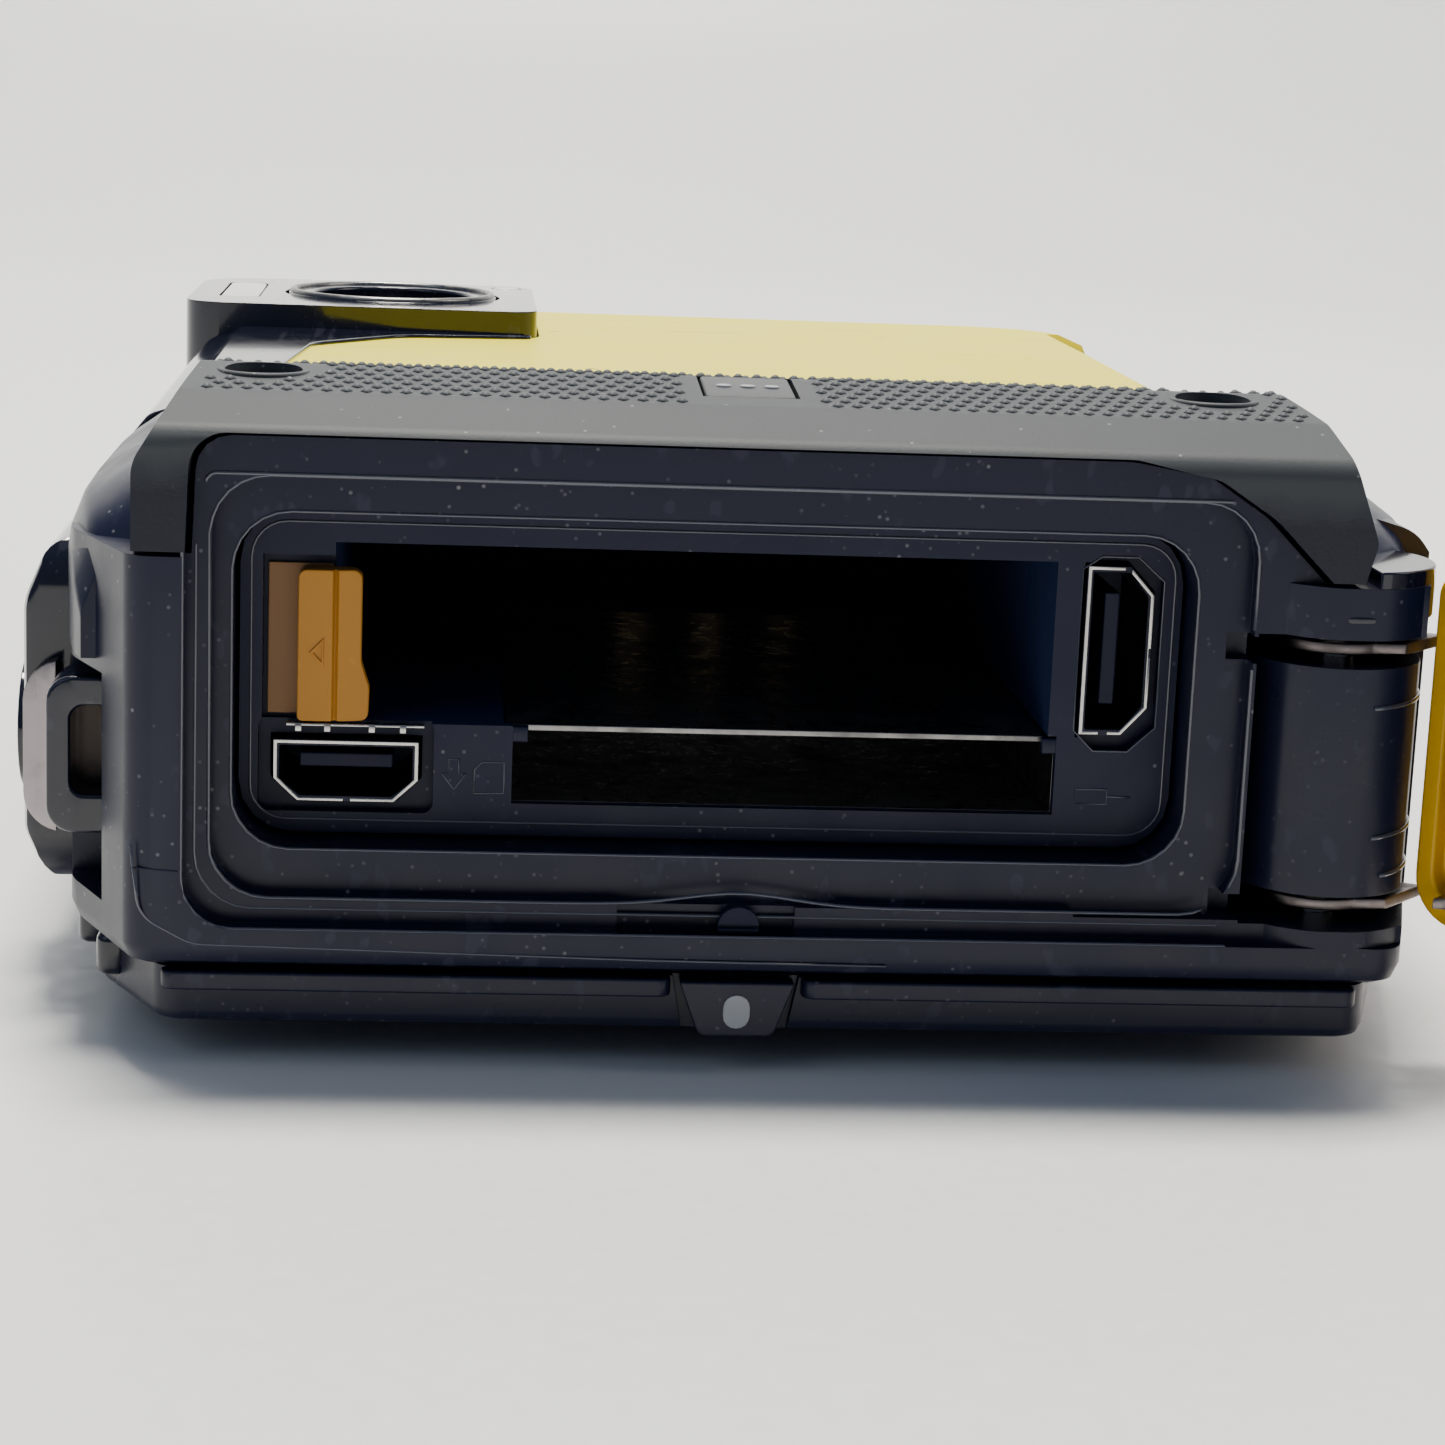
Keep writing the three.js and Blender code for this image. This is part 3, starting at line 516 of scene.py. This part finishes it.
# ---------------------------------------------------------------- places that pieces share, in millimetres
END_Y = -55.2  # face of the end frame
FRAME_BACK = -46.2  # back of the end frame, under the grip
PLATE_Y = -50.5  # face of the port plate
LAND_Y = -53.0  # face of the land round the bay's mouth
RECESS_Y = -54.0  # floor of the recess that the door closes into
HINGE = (25.5, -51.0)  # x and y of the hinge pin
TAB_X = -1.65  # middle of the index tab and of the lock's catch
ARM_BANDS = ((5.15, 6.05), (17.05, 17.95))  # z from and to of the two hinge arms
GRIP_SCREWS = (-23.5, 20.1)  # x of the two screws in the grip
SCREW_Y = -46.5
DOOR_ANGLE = 137  # degrees that the door stands open
DOOR_X = (-26.0, 22.1)  # the closed door's ends
DOOR_Z = (4.25, 25.4)  # the closed door's lower edge and top
DOOR_CORNER_Z = 20.2  # where the door's slope by the hinge begins
LENS_MIDDLE = (-19.5, 40)
LAMP_MIDDLE = (-11.3, 48.6)
LENS_TOP = 24.4  # top of the lens block


def cap_outline(grow):
    """The end frame's upper outline (x, z), `grow` wider on all sides."""
    return rounded([(-26.3 - grow, 15), (24.2 + grow, 15), (24.2 + grow, 20.5), (21.2 + grow, 23.5, 2),
                    (18.6 + grow, 25.2, 2), (15.0, 25.8 + grow, 3), (-25.9 - grow, 25.8 + grow, 1.6)], 8)


# ---------------------------------------------------------------- grip
# Outlines of the grip from the side (y, z) and from the end (x, z).
GRIP_PROFILE = rounded([(END_Y, 19.6), (END_Y, 26.1, 1.2), (-51.6, 27.45, 2), (-44.6, 28.05, 6),
                        (-41.0, 27.4, 3), (-38.6, 24.4, 2), (-38.1, 22.4), (-38.1, 19.6)], 9)
GRIP_FRONT = rounded([(-28.6, 19.6), (25.2, 19.6), (26.0, 22.6, 1.0), (23.9, 28.4, 1.8),
                      (-26.3, 28.4, 1.8), (-28.6, 24.6, 2)], 9)


def grip_top(y):
    """Height of the grip's upper surface and its slope at y."""
    line = [p for p in GRIP_PROFILE if p[1] > 24]
    for a, b in zip(line, line[1:]):
        if a[0] <= y <= b[0] and b[0] > a[0]:
            slope = (b[1] - a[1]) / (b[0] - a[0])
            return a[1] + slope * (y - a[0]), slope
    return line[-1][1], 0


def studs(x0, x1, y0, y1, clear):
    """Staggered rows of small pyramids that follow the grip's upper surface."""
    pitch, row_pitch = 0.87, 1.0
    half_x, half_y, height = 0.37, 0.44, 0.16
    sink = 0.06
    crown_share = 0.22
    bm = bmesh.new()
    row = 0
    y = y0
    while y < y1:
        x = x0 + (pitch / 2 if row % 2 else 0)
        while x < x1:
            if clear(x, y):
                z, slope = grip_top(y)
                up = Vector((0, -slope, 1)).normalized()
                along = Vector((0, 1, slope)).normalized()
                base = Vector((x, y, z)) - up * sink
                foot = [base + Vector((half_x, 0, 0)), base + along * half_y,
                        base - Vector((half_x, 0, 0)), base - along * half_y]
                crown = base + up * (height + sink)
                top = [crown + (f - base) * crown_share for f in foot]
                low = [bm.verts.new(metres(v)) for v in foot]
                high = [bm.verts.new(metres(v)) for v in top]
                for k in range(4):
                    bm.faces.new((low[k], low[(k + 1) % 4], high[(k + 1) % 4], high[k]))
                bm.faces.new(low[::-1])
                bm.faces.new(high)
            x += pitch
        y += row_pitch
        row += 1
    return new_object("grip_studs", bm)


def grip():
    body = keep(prism("x", GRIP_PROFILE, -28.6, 26.0), prism("y", GRIP_FRONT, -60, -30))
    inside = rounded([(-27.0, 10), (24.2, 10), (24.2, 22.6), (22.6, 26.3, 1), (-25.2, 26.3, 1),
                      (-27.0, 23.6)])
    cut(body, prism("y", cap_outline(0.2), -60, FRAME_BACK), box(-60, -60, 10, 60, FRAME_BACK + 0.2, 20.8),
        prism("y", inside, -52.5, -40.6), box(-21.2, -60, 10, 13.8, -30, 21.3))
    badge = box(-3.8, -49.6, 26.9, 0.6, -44.7, 31)
    bores = [disc("z", x, SCREW_Y, 1.75, 26.9, 30) for x in GRIP_SCREWS]
    bores += [disc("z", x, SCREW_Y, 0.75, 20, 30, 16) for x in GRIP_SCREWS]
    cut(body, badge, *bores)
    # The skin takes the darker copy of the grip rubber: painted shade on the band.
    piece(body, "grip_skin", "grip", "camera", "grip_cover", slot="grip_grey", width=0.22, segments=3)

    def clear(x, y):
        if -4.5 < x < 1.3 and y < -44.2:
            return False
        if min(math.hypot(x - sx, y - SCREW_Y) for sx in GRIP_SCREWS) < 2.75:
            return False
        return -26.0 < x < 23.6

    # The studs take the lighter copy of the grip rubber: painted light on the studded top.
    field = studs(-25.7, 23.7, -51.0, -40.2, clear)
    piece(field, "grip_studs", "texture", "camera", slot="grip_grey", width=0)
    for k, x in enumerate(GRIP_SCREWS):
        top = grip_top(SCREW_Y)[0]
        collar = ring("z", circle(x, SCREW_Y, 2.15), circle(x, SCREW_Y, 1.74), top - 0.7, top + 0.02)
        piece(collar, f"screw_collar_{k + 1}", "grip", "camera", slot="grip_grey", width=0.12)
    pad_side = [(-49.45, 27.05), (-44.8, 27.05)]
    pad_side += [(y, grip_top(y)[0] + 0.02) for y in (-44.8, -46, -47.2, -48.4, -49.45)]
    pad = prism("x", pad_side, -3.65, 0.45)
    piece(pad, "grip_badge", "pad", "camera", "grip_pad", slot="pad_grey", width=0.15)
    dots_y = -47.2
    dots_z = grip_top(dots_y)[0]
    for k, x in enumerate((-2.7, -1.6, -0.5)):
        dot = disc("z", x, dots_y, 0.36, dots_z - 0.1, dots_z + 0.09, 20)
        piece(dot, f"badge_dot_{k + 1}", "mark", "camera", slot="mark_grey", width=0.05)


# ---------------------------------------------------------------- end frame and its steps
def bumped(x0, z0, x1, z1, r):
    """Rounded rectangle whose lower side swells up a little round the lock's catch."""
    out = []
    line = rect(x0, z0, x1, z1, r)
    for a, b in zip(line, line[1:] + line[:1]):
        out.append(a)
        if abs(a[1] - z0) < 0.01 and abs(b[1] - z0) < 0.01 and (b - a).length > 5:
            steps, swell, reach = 40, 0.6, 3.4
            for k in range(1, steps):
                p = a.lerp(b, k / steps)
                out.append(Vector((p[0], p[1] + swell * math.exp(-((p[0] - TAB_X) / reach) ** 2))))
    return out


def end_frame():
    body = copy_of("end_frame", "frame_tool")
    piece(body, "end_surround", "frame", "camera", "end_frame", slot="body_black", width=0.16, segments=3)
    # Beads of the lighter edge paint round the bore and the land: painted highlight lines.
    lines = {
        "bore_line": (rect(-24.4, 7.2, 18.6, 22.4, 2.6), LAND_Y, 0.075),
        "land_line": (bumped(-25.3, 5.2, 21.0, 24.1, 2.6), RECESS_Y + 0.02, 0.085),
    }
    for name, (outline, y, radius) in lines.items():
        line = bead_at(outline, y, radius)
        cut(line, *[box(19.5, -56, z0 - 0.45, 24, -50, z1 + 0.45) for z0, z1 in ARM_BANDS])
        piece(line, name, "edge", "camera", slot="gloss_black", width=0)
    inner = rounded([(20.2, 4.72), (-25.9, 4.72, 2.5), (-25.9, 21.0)])
    lip = rounded([(20.4, 4.05), (-26.4, 4.05, 2.2), (-26.4, 23.6)])
    # Painted highlight line at the top of the channel between the cap and the door's edge.
    ridge = [(-25.0 + 0.5 * math.cos(t), 23.7 + 0.45 * math.sin(t)) for t in (3.1, 2.7, 2.2, 1.7)]
    ridge += [(x, 24.15) for x in (-20, -10, 0, 10, 19.6)]
    # Painted highlight along the fold at the frame's lower side.
    fold_rise = 1.0
    fold = rounded([(-28.57, 6.81), (-28.2, 3.6, 1.6), (-25.9, 2.35, 2.2), (-6.0, 1.95), (5.0, 1.85),
                    (26.5, 1.6)], 10)
    fold = [(p[0], p[1] + fold_rise) for p in fold[:-1]]
    # Beads of the lighter edge paint along the recess floor, the lip, the channel and the fold: painted
    # highlight lines.
    for name, outline, y, radius in (
            ("floor_line", inner, RECESS_Y + 0.03, 0.075), ("lip_line", lip, END_Y + 0.10, 0.09),
            ("cap_line", ridge, RECESS_Y + 0.02, 0.10), ("fold_line", fold, END_Y + 0.035, 0.06)):
        line = bead_at(outline, y, radius, closed=False)
        piece(line, name, "edge", "camera", slot="gloss_black", width=0)
    seam = bead_at([(-28.5, 6.78), (-27.4, 6.70), (-26.5, 6.66)], END_Y + 0.03, 0.055, closed=False)
    piece(seam, "side_seam", "well", "camera", slot="body_black", width=0)
    # Catch that the lock's cam turns behind.
    catch = prism("y", circle(TAB_X, 4.35, 0.95, 24), -54.5, -54.05)
    cut(catch, box(TAB_X - 1.2, -54.7, 4.3, TAB_X + 1.2, -54.3, 4.42), box(-5, -56, 0, 5, -50, 4.06))
    piece(catch, "lock_catch", "well", "camera", slot="body_black", width=0.06)
    # Upper half of the rear cover's edge, which stands a little prouder than the lower half.
    tab_half = 2.95
    for name, x0, x1 in (("rear_step_1", -27.3, TAB_X - tab_half), ("rear_step_2", TAB_X + tab_half, 26.8)):
        outline = rounded([(x0, -54.0), (x0, -54.95, 0.6), (x1, -54.95, 0.6), (x1, -54.0)])
        strip = prism("z", outline, 1.15, 2.0)
        piece(strip, name, "body", "camera", slot="body_black", width=0.12)


# ---------------------------------------------------------------- port plate
def inset(corners, d):
    """Closed outline moved inwards by d, corner by corner."""
    middle = sum((Vector(c) for c in corners), Vector((0, 0))) / len(corners)
    out = []
    for i, c in enumerate(corners):
        here = Vector(c)
        a = (here - Vector(corners[i - 1])).normalized()
        b = (Vector(corners[(i + 1) % len(corners)]) - here).normalized()
        na, nb = Vector((-a.y, a.x)), Vector((-b.y, b.x))
        if na.dot(middle - here) < 0:
            na = -na
        if nb.dot(middle - here) < 0:
            nb = -nb
        out.append(here + (na + nb) * (d / (1 + na.dot(nb))))
    return out


# Mouths of the two cable sockets.
HDMI = [(-21.6, 8.8), (-17.2, 8.8), (-16.1, 9.85), (-16.1, 11.7), (-22.7, 11.7), (-22.7, 9.85)]
USB = [(13.95, 12.7), (15.95, 12.7), (17.15, 14.0), (17.15, 19.3), (15.95, 20.6), (13.95, 20.6)]


def port_plate():
    body = copy_of("bay_tray", "tray_tool")
    octagon = rounded([(13.75, 12.9), (14.7, 11.95), (16.3, 11.95), (17.55, 13.1), (17.55, 19.9),
                       (16.3, 21.0), (14.6, 21.0), (13.75, 20.4)])
    pocket = rect(-23.35, 8.35, -15.45, 12.7, 0.5)
    cut(body, prism("y", pocket, -52, -49.8), prism("y", octagon, -52, -49.75))
    piece(body, "port_plate", "plate", "camera", "bay_tray", slot="body_black", width=0.10)
    body.data.materials.append(M["deep"])
    # Faces deeper in than inside_y take the lighter navy: painted light in the bay's depths.
    inside_y = -49.0
    for face in body.data.polygons:
        if face.center.y > inside_y * MM:
            face.material_index = 1
    # Small gaps in the sockets' rims: x from and to, z from and to.
    hdmi_notches = [(-19.5, -19.2, 8.6, 9.1)]
    usb_notches = [(17.0, 17.4, 16.4, 16.8), (14.9, 15.3, 12.5, 13.1), (15.7, 16.0, 20.2, 20.9)]
    for name, line, notches in (("hdmi_rim", HDMI, hdmi_notches), ("usb_rim", USB, usb_notches)):
        rim = ring("y", inset(line, 0.04), inset(line, 0.21), PLATE_Y - 0.10, PLATE_Y + 0.12)
        cut(rim, *[box(x0, -52, z0, x1, -50, z1) for x0, x1, z0, z1 in notches])
        piece(rim, name, "steel", "camera", slot="steel", width=0.03)
    # Beads of the lighter edge paint round the plate and the USB pocket: painted highlight lines.
    panel = rect(-23.7, 8.0, 18.05, 21.6, 1.6)
    for name, outline, radius in (("plate_line", panel, 0.06), ("usb_pocket_line", octagon, 0.05)):
        line = bead_at(outline, PLATE_Y - 0.01, radius)
        piece(line, name, "edge", "camera", slot="gloss_black", width=0)
    # Pictograms moulded into the plate: an arrow, a card, a plug, drawn as beads of the lighter edge paint,
    # a painted highlight on their relief.
    arrow = [(-14.75, 10.9), (-14.3, 10.9), (-14.3, 10.25), (-13.95, 10.25), (-14.52, 9.5), (-15.1, 10.25),
             (-14.75, 10.25)]
    card = [(-13.6, 9.35), (-12.25, 9.35), (-12.25, 10.8), (-13.25, 10.8), (-13.6, 10.45)]
    plug = [(14.0, 9.45), (15.5, 9.45), (15.5, 10.15), (14.0, 10.15)]
    for name, shape in (("arrow_sign", arrow), ("card_sign", card), ("plug_sign", plug)):
        line = bead_at(shape, PLATE_Y - 0.005, 0.045, sides=6)
        piece(line, name, "edge", "camera", slot="gloss_black", width=0)
    wire = bead_at([(15.5, 9.8), (16.6, 9.8)], PLATE_Y - 0.005, 0.06, closed=False, sides=6)
    piece(wire, "plug_sign_wire", "edge", "camera", slot="gloss_black", width=0)
    # Corner steps of the card slot's mouth.
    for name, x0, x1 in (("slot_step_1", -11.95, -11.2), ("slot_step_2", 12.35, 13.05)):
        step = box(x0, PLATE_Y + 0.01, 11.75, x1, PLATE_Y + 0.55, 12.48)
        piece(step, name, "plate", "camera", slot="body_black", width=0.08)
    # Bent contact strip between the latch and the socket below it.
    strip = box(-22.1, PLATE_Y - 0.02, 12.3, -15.9, PLATE_Y + 0.5, 12.42)
    tooth = 0.28
    teeth = [box(x, PLATE_Y - 0.06, 12.05, x + tooth, PLATE_Y + 0.4, 12.36)
             for x in (-21.7, -20.4, -18.4, -17.0)]
    add(strip, *teeth)
    piece(strip, "contact_strip", "steel", "camera", slot="steel", width=0.03)


def latch():
    """Orange slider with two facets, a foot and a moulded triangle."""
    outline = rounded([(-21.62, 12.6, 0.25), (-18.45, 12.6, 0.35), (-18.40, 14.1, 0.5), (-18.78, 15.3, 0.6),
                       (-18.78, 19.5, 0.45), (-21.62, 19.5, 0.4)], 8)
    body = prism("y", outline, -50.95, -49.78)
    slope = [(-19.95, -50.96), (-19.95, -52), (-18, -52), (-18, -50.45)]
    groove = [(-20.03, -50.7), (-19.87, -50.7), (-19.80, -51.2), (-20.1, -51.2)]
    for outline in (slope, groove):
        cut(body, prism("z", outline, 10, 22))
    piece(body, "latch_slider", "orange", "battery_catch", "battery_latch", slot="orange_plastic",
          width=0.14, segments=3)
    sign = ring("y", [(-21.10, 15.75), (-20.45, 16.42), (-20.45, 15.08)],
                [(-20.93, 15.75), (-20.55, 16.15), (-20.55, 15.35)], -51.04, -50.9)
    piece(sign, "latch_arrow", "orange", "battery_catch", slot="orange_plastic", width=0.03)


# ---------------------------------------------------------------- hinge
def hinge():
    """Three fine ribs on the hinge barrel, each rising a little along its turn."""
    radius, rise, parts = 3.92, 0.35, 14
    for k, (z, start, end) in enumerate(((15.1, -75, 20), (9.1, -70, 10), (7.3, -60, 25))):
        arc = []
        for j in range(parts + 1):
            t = math.radians(start + (end - start) * j / parts)
            x, y = HINGE[0] + radius * math.cos(t), HINGE[1] + radius * math.sin(t)
            arc.append((x, y, z + rise * j / parts))
        # The ribs wear the lighter edge paint: painted highlight lines on the barrel.
        piece(bead(arc, 0.11), f"barrel_rib_{k + 1}", "edge", "camera", slot="gloss_black", width=0)


# ---------------------------------------------------------------- door, drawn closed and then turned open
def opened(obj):
    """Turns a closed-door shape about the hinge to where the door stands."""
    pivot = Matrix.Translation((HINGE[0] * MM, HINGE[1] * MM, 0))
    turn = Matrix.Rotation(math.radians(DOOR_ANGLE), 4, "Z")
    obj.data.transform(pivot @ turn @ pivot.inverted())
    return obj


def door_outline(g):
    """The closed door's outline (x, z), drawn in by g."""
    (x0, x1), (z0, z1) = DOOR_X, DOOR_Z
    return rounded([(x0 + g, z0 + g, 2.2 - g * 0.5), (x1 - g, z0 + g, 2.4 - g * 0.5),
                    (x1 - g, DOOR_CORNER_Z - g * 0.4, 1.2), (18.4 - g * 0.6, 24.2 - g * 0.7, 1.5),
                    (14.4 - g * 0.2, z1 - g, 3), (x0 + g, z1 - g, 1.8 - g * 0.5)], 8)


def door():
    # How far the outline is drawn in, and where: a rounded outer edge.
    sections = ((0.72, -56.2), (0.34, -56.1), (0.1, -55.85), (0.0, -55.5), (0.0, -54.2))
    shell = loft("y", [(door_outline(g), y) for g, y in sections])
    # The hollow behind the rim, the knob's hole, and room for the lock's cam.
    cut(shell, prism("y", door_outline(0.9), -55.2, -50), disc("y", -1.7, 11.5, 3.3, -70, -50),
        box(-4.0, -54.95, 0, 0.6, -53, 8), box(-10.6, -54.95, 7, -1.0, -53, 16))
    piece(opened(shell), "door_skin", "door", "door", "door_shell", slot="painted_door", width=0.42,
          segments=4)
    for k, (z0, z1) in enumerate(ARM_BANDS):
        leaf = copy_of(f"hinge_arm_{k + 1}", "arm_tool")
        rim = box(20.5, -58, z0 - 2, 22.0, -50, z1 + 2)
        above = box(10, -60, z1 - 0.12, 40, -40, z1 + 1)
        below = box(10, -60, z0 - 1, 40, -40, z0 + 0.24)
        cut(leaf, opened(rim), opened(above), opened(below))
        piece(leaf, f"hinge_leaf_{k + 1}", "arm", "door", f"hinge_arm_{k + 1}", slot="steel", width=0.12)


# ---------------------------------------------------------------- top deck side
def left_side():
    """Strap lug, its guard and two small feet."""
    lug = ring("y", rect(-32.9, 6.9, -29.35, 14.15, 1.2), rect(-31.8, 8.7, -29.75, 12.8, 0.7), -49.7, -46.45)
    piece(lug, "strap_lug", "gloss", "camera", "strap_eyelet", slot="gloss_black", width=0.45, segments=4)
    plate = prism("y", rect(-31.95, 8.5, -29.6, 13.0, 0.5), -47.2, -46.9)
    piece(plate, "lug_plate", "bronze", "camera", slot="steel", width=0.1)
    band = ring("y", rect(-34.5, 5.8, -30, 13.95, 1.9, 8), rect(-33.3, 7.0, -29, 12.75, 1.0, 8),
                -45.1, -43.7)
    bulk = prism("z", rounded([(-32.95, -47.5), (-20, -47.5), (-20, -36), (-33.05, -36)]), 0, 20)
    cut(band, bulk)
    piece(band, "strap_guard", "chrome", "camera", "strap_band", slot="polished_steel", width=0.35,
          segments=4)
    nub_half = 0.75
    for k, (x, y, length) in enumerate(((-31.3, -43.4, 2.6), (-29.9, -48.9, 2.2))):
        outline = rect(x - nub_half, y - length / 2, x + nub_half, y + length / 2, 0.6)
        nub = prism("z", outline, 0.25, 2.3)
        piece(nub, f"edge_nub_{k + 1}", "gloss", "camera", slot="gloss_black", width=0.45, segments=4)


# ---------------------------------------------------------------- rounded shoulders beside the grip
def shoulders():
    # Along Y: place, outer x on the left, outer x on the right, height of the top.
    stations = ((-50.8, -31.2, 28.9, 20.9), (-49.8, -31.6, 29.3, 22.0), (-48.2, -31.9, 29.8, 22.8),
                (-45.5, -32.35, 30.6, 23.15), (-41.0, -32.8, 31.7, 23.15), (-34.0, -33.05, 32.6, 22.95),
                (-24.0, -33.05, 32.95, 22.9), (-18.0, -33.05, 32.95, 22.7), (-14.9, -33.0, 32.9, 21.6))
    foot_z = 15.2
    for name, side in (("shoulder_dome_1", -1), ("shoulder_dome_2", 1)):
        inner = side * 24.0
        loops = []
        for y, out_left, out_right, top in stations:
            out = out_left if side < 0 else out_right
            edge = rounded([(inner, foot_z), (inner, top), (out - side * 2.9, top, 1.6),
                            (out - side * 0.8, top - 1.5, 1.6), (out, top - 3.6, 1.6), (out, foot_z)], 6)
            loops.append((edge, y))
        dome = loft("y", loops)
        cut(dome, box(-28.85, -60, 10, 26.25, -37.5, 30), box(-28.75, -37.8, 10, 27.05, 0, 30),
            disc("z", HINGE[0], HINGE[1], 4.45, 0, 21.3, 48))
        piece(dome, name, "frame", "camera", slot="body_black", width=0.3, segments=3, angle=35)
    # The rounded cap over the hinge barrel.
    ear = disc("z", HINGE[0], HINGE[1], 4.25, 19.0, 21.35, 64)
    cut(ear, box(10, -60, 19.35, 26.2, -30, 30))
    piece(ear, "ear_cap", "gloss", "camera", slot="body_black", width=0.9, segments=5, angle=50)


# ---------------------------------------------------------------- lens block
def lens_block():
    """Raised block round the lens, with its trim, the lamp and the black strips that lead to it."""
    outline = rounded([(-33.35, 29.0, 2.4), (-9.4, 29.0, 1.6), (-9.4, 51.0, 2.4), (-33.35, 51.0, 5.0)], 10)
    block = prism("z", outline, 19.65, LENS_TOP)
    flash = rect(-31.4, 34.0, -28.6, 46.0, 0.6)
    hollow = rect(-31.6, 30.8, -11.2, 49.2)
    cut(block, disc("z", *LENS_MIDDLE, 7.6, 0, 40, 72), prism("z", flash, LENS_TOP - 1.0, 40),
        disc("z", *LAMP_MIDDLE, 1.1, LENS_TOP - 1.0, 40, 24), prism("z", hollow, 15, LENS_TOP - 1.6))
    piece(block, "lens_block", "gloss", "camera", "lens_housing", slot="gloss_black", width=0.5, segments=4)
    trim_line = [(p[0], p[1], LENS_TOP + 0.12) for p in circle(*LENS_MIDDLE, 7.0, 72)]
    trim = bead(trim_line, 0.24, closed=True, sides=12)
    piece(trim, "lens_trim", "socket", "camera", slot="polished_steel", width=0)
    lamp = disc("z", *LAMP_MIDDLE, 1.0, LENS_TOP - 1.0, LENS_TOP + 0.02, 24)
    piece(lamp, "lamp_window", "clear", "camera", slot="clear_window", width=0.12)
    apron = rounded([(-29.6, 28.95), (-29.6, 2.0, 0.6), (-25.6, 2.0, 1.0), (-24.2, 19.0, 4),
                     (-18.5, 26.6, 4), (-9.8, 28.3, 0.6), (-9.8, 28.95)], 10)
    side = rounded([(-32.95, 19.65), (-32.95, 20.2, 0.5), (-31.6, 21.9, 1.2), (-28.7, 22.84, 0.8),
                    (-28.3, 22.84), (-28.3, 19.65)], 8)
    piece(prism("y", side, -14.75, 28.95), "side_strip", "gloss", "camera", slot="gloss_black", width=0.12)
    piece(prism("z", apron, 22.45, 22.85), "housing_apron", "gloss", "camera", slot="gloss_black",
          width=0.12)


# ---------------------------------------------------------------- front cover
def front_cover():
    """Painted cover with a slope down to the shell along both sides."""
    body = copy_of("front_cover", "front_tool")
    left = [(-40, 19.0), (-32.9, 19.0), (-32.75, 19.6), (-31.5, 21.4), (-28.8, 22.62), (-28.8, 30),
            (-40, 30)]
    right = [(-x, z) for x, z in left]
    cut(body, prism("y", left, -38.5, 28.9), prism("y", right, -38.5, 46))
    piece(body, "front_panel", "front", "camera", "front_cover", slot="painted_front", width=0.3, segments=3)


grip()
end_frame()
port_plate()
latch()
hinge()
left_side()
shoulders()
lens_block()
front_cover()
door()


# ---------------------------------------------------------------- stage, light and camera
def stage():
    """Pale table that curves up into a pale wall."""
    floor_mat = Nodes("stage_pale")
    floor_mat.color(floor_mat.mix(floor_mat.noise(8, 3), (0.78, 0.79, 0.79), (0.82, 0.83, 0.83)))
    floor_mat.rough(floor_mat.remap(floor_mat.noise(900, 4), 0.3, 0.7, 0.34, 0.5))
    floor_mat.bump(floor_mat.noise(700, 3), 6e-5, 0.25)
    bend_y, bend_radius, bend_steps = 0.45, 0.12, 12
    profile = [(-1.2, 0.0), (bend_y, 0.0)]
    for k in range(1, bend_steps + 1):
        t = k / bend_steps * math.pi / 2
        profile.append((bend_y + bend_radius * math.sin(t), bend_radius - bend_radius * math.cos(t)))
    profile.append((0.57, 1.4))
    half_width, gap = 1.3, 2e-5
    bm = bmesh.new()
    rows = [[bm.verts.new((x, y, z - gap)) for y, z in profile] for x in (-half_width, half_width)]
    for k in range(len(profile) - 1):
        bm.faces.new((rows[0][k], rows[1][k], rows[1][k + 1], rows[0][k + 1]))
    floor = new_object("floor", bm)
    for poly in floor.data.polygons:
        poly.use_smooth = True
    floor.data.materials.append(floor_mat.mat)


def light(name, place_at, aim, size, power, color):
    """Rectangular light at one point, aimed at another; metres and watts."""
    data = bpy.data.lights.new(name, "AREA")
    data.shape = "RECTANGLE"
    data.size, data.size_y = size
    data.energy = power
    data.color = color
    obj = bpy.data.objects.new(name, data)
    obj.location = place_at
    direction = Vector(aim) - Vector(place_at)
    obj.rotation_mode = "QUATERNION"
    obj.rotation_quaternion = direction.to_track_quat("-Z", "Y")
    bpy.context.scene.collection.objects.link(obj)


stage()
light("key_light", (-0.03, 0.13, 0.80), (0, -0.02, 0), (0.26, 0.16), 12.0, (1.0, 0.95, 0.85))
light("fill_light", (-0.5, -0.5, 0.5), (0, -0.03, 0.01), (0.5, 0.5), 0.5, (0.75, 0.87, 1.0))
light("side_light", (0.6, -0.1, 0.35), (0, 0, 0.01), (0.3, 0.4), 1.0, (1.0, 0.93, 0.85))
light("wall_light", (0.0, 0.14, 0.85), (0, 0.57, 0.25), (0.6, 0.2), 4.0, (1.0, 0.98, 0.95))

world = bpy.data.worlds.new("studio")
world.use_nodes = True
world.node_tree.nodes["Background"].inputs[0].default_value = (0.56, 0.70, 1.0, 1)
world.node_tree.nodes["Background"].inputs[1].default_value = 0.22
bpy.context.scene.world = world

CAMERA_PLACE = (-0.0148, -0.1951, 0.0459)
cam_data = bpy.data.cameras.new("camera_view")
cam_data.sensor_width = 36
cam_data.lens = 81.24
cam_data.clip_start = 0.005
cam_data.clip_end = 20
cam = bpy.data.objects.new("camera_view", cam_data)
forward = Vector((0.08358, 0.97490, -0.20637)).normalized()
up = Vector((-0.02307, 0.20894, 0.97766))
right = forward.cross(up).normalized()
up = right.cross(forward)
cam.matrix_world = Matrix((
    (right.x, up.x, -forward.x, CAMERA_PLACE[0]),
    (right.y, up.y, -forward.y, CAMERA_PLACE[1]),
    (right.z, up.z, -forward.z, CAMERA_PLACE[2]),
    (0, 0, 0, 1)))
bpy.context.scene.collection.objects.link(cam)
bpy.context.scene.camera = cam
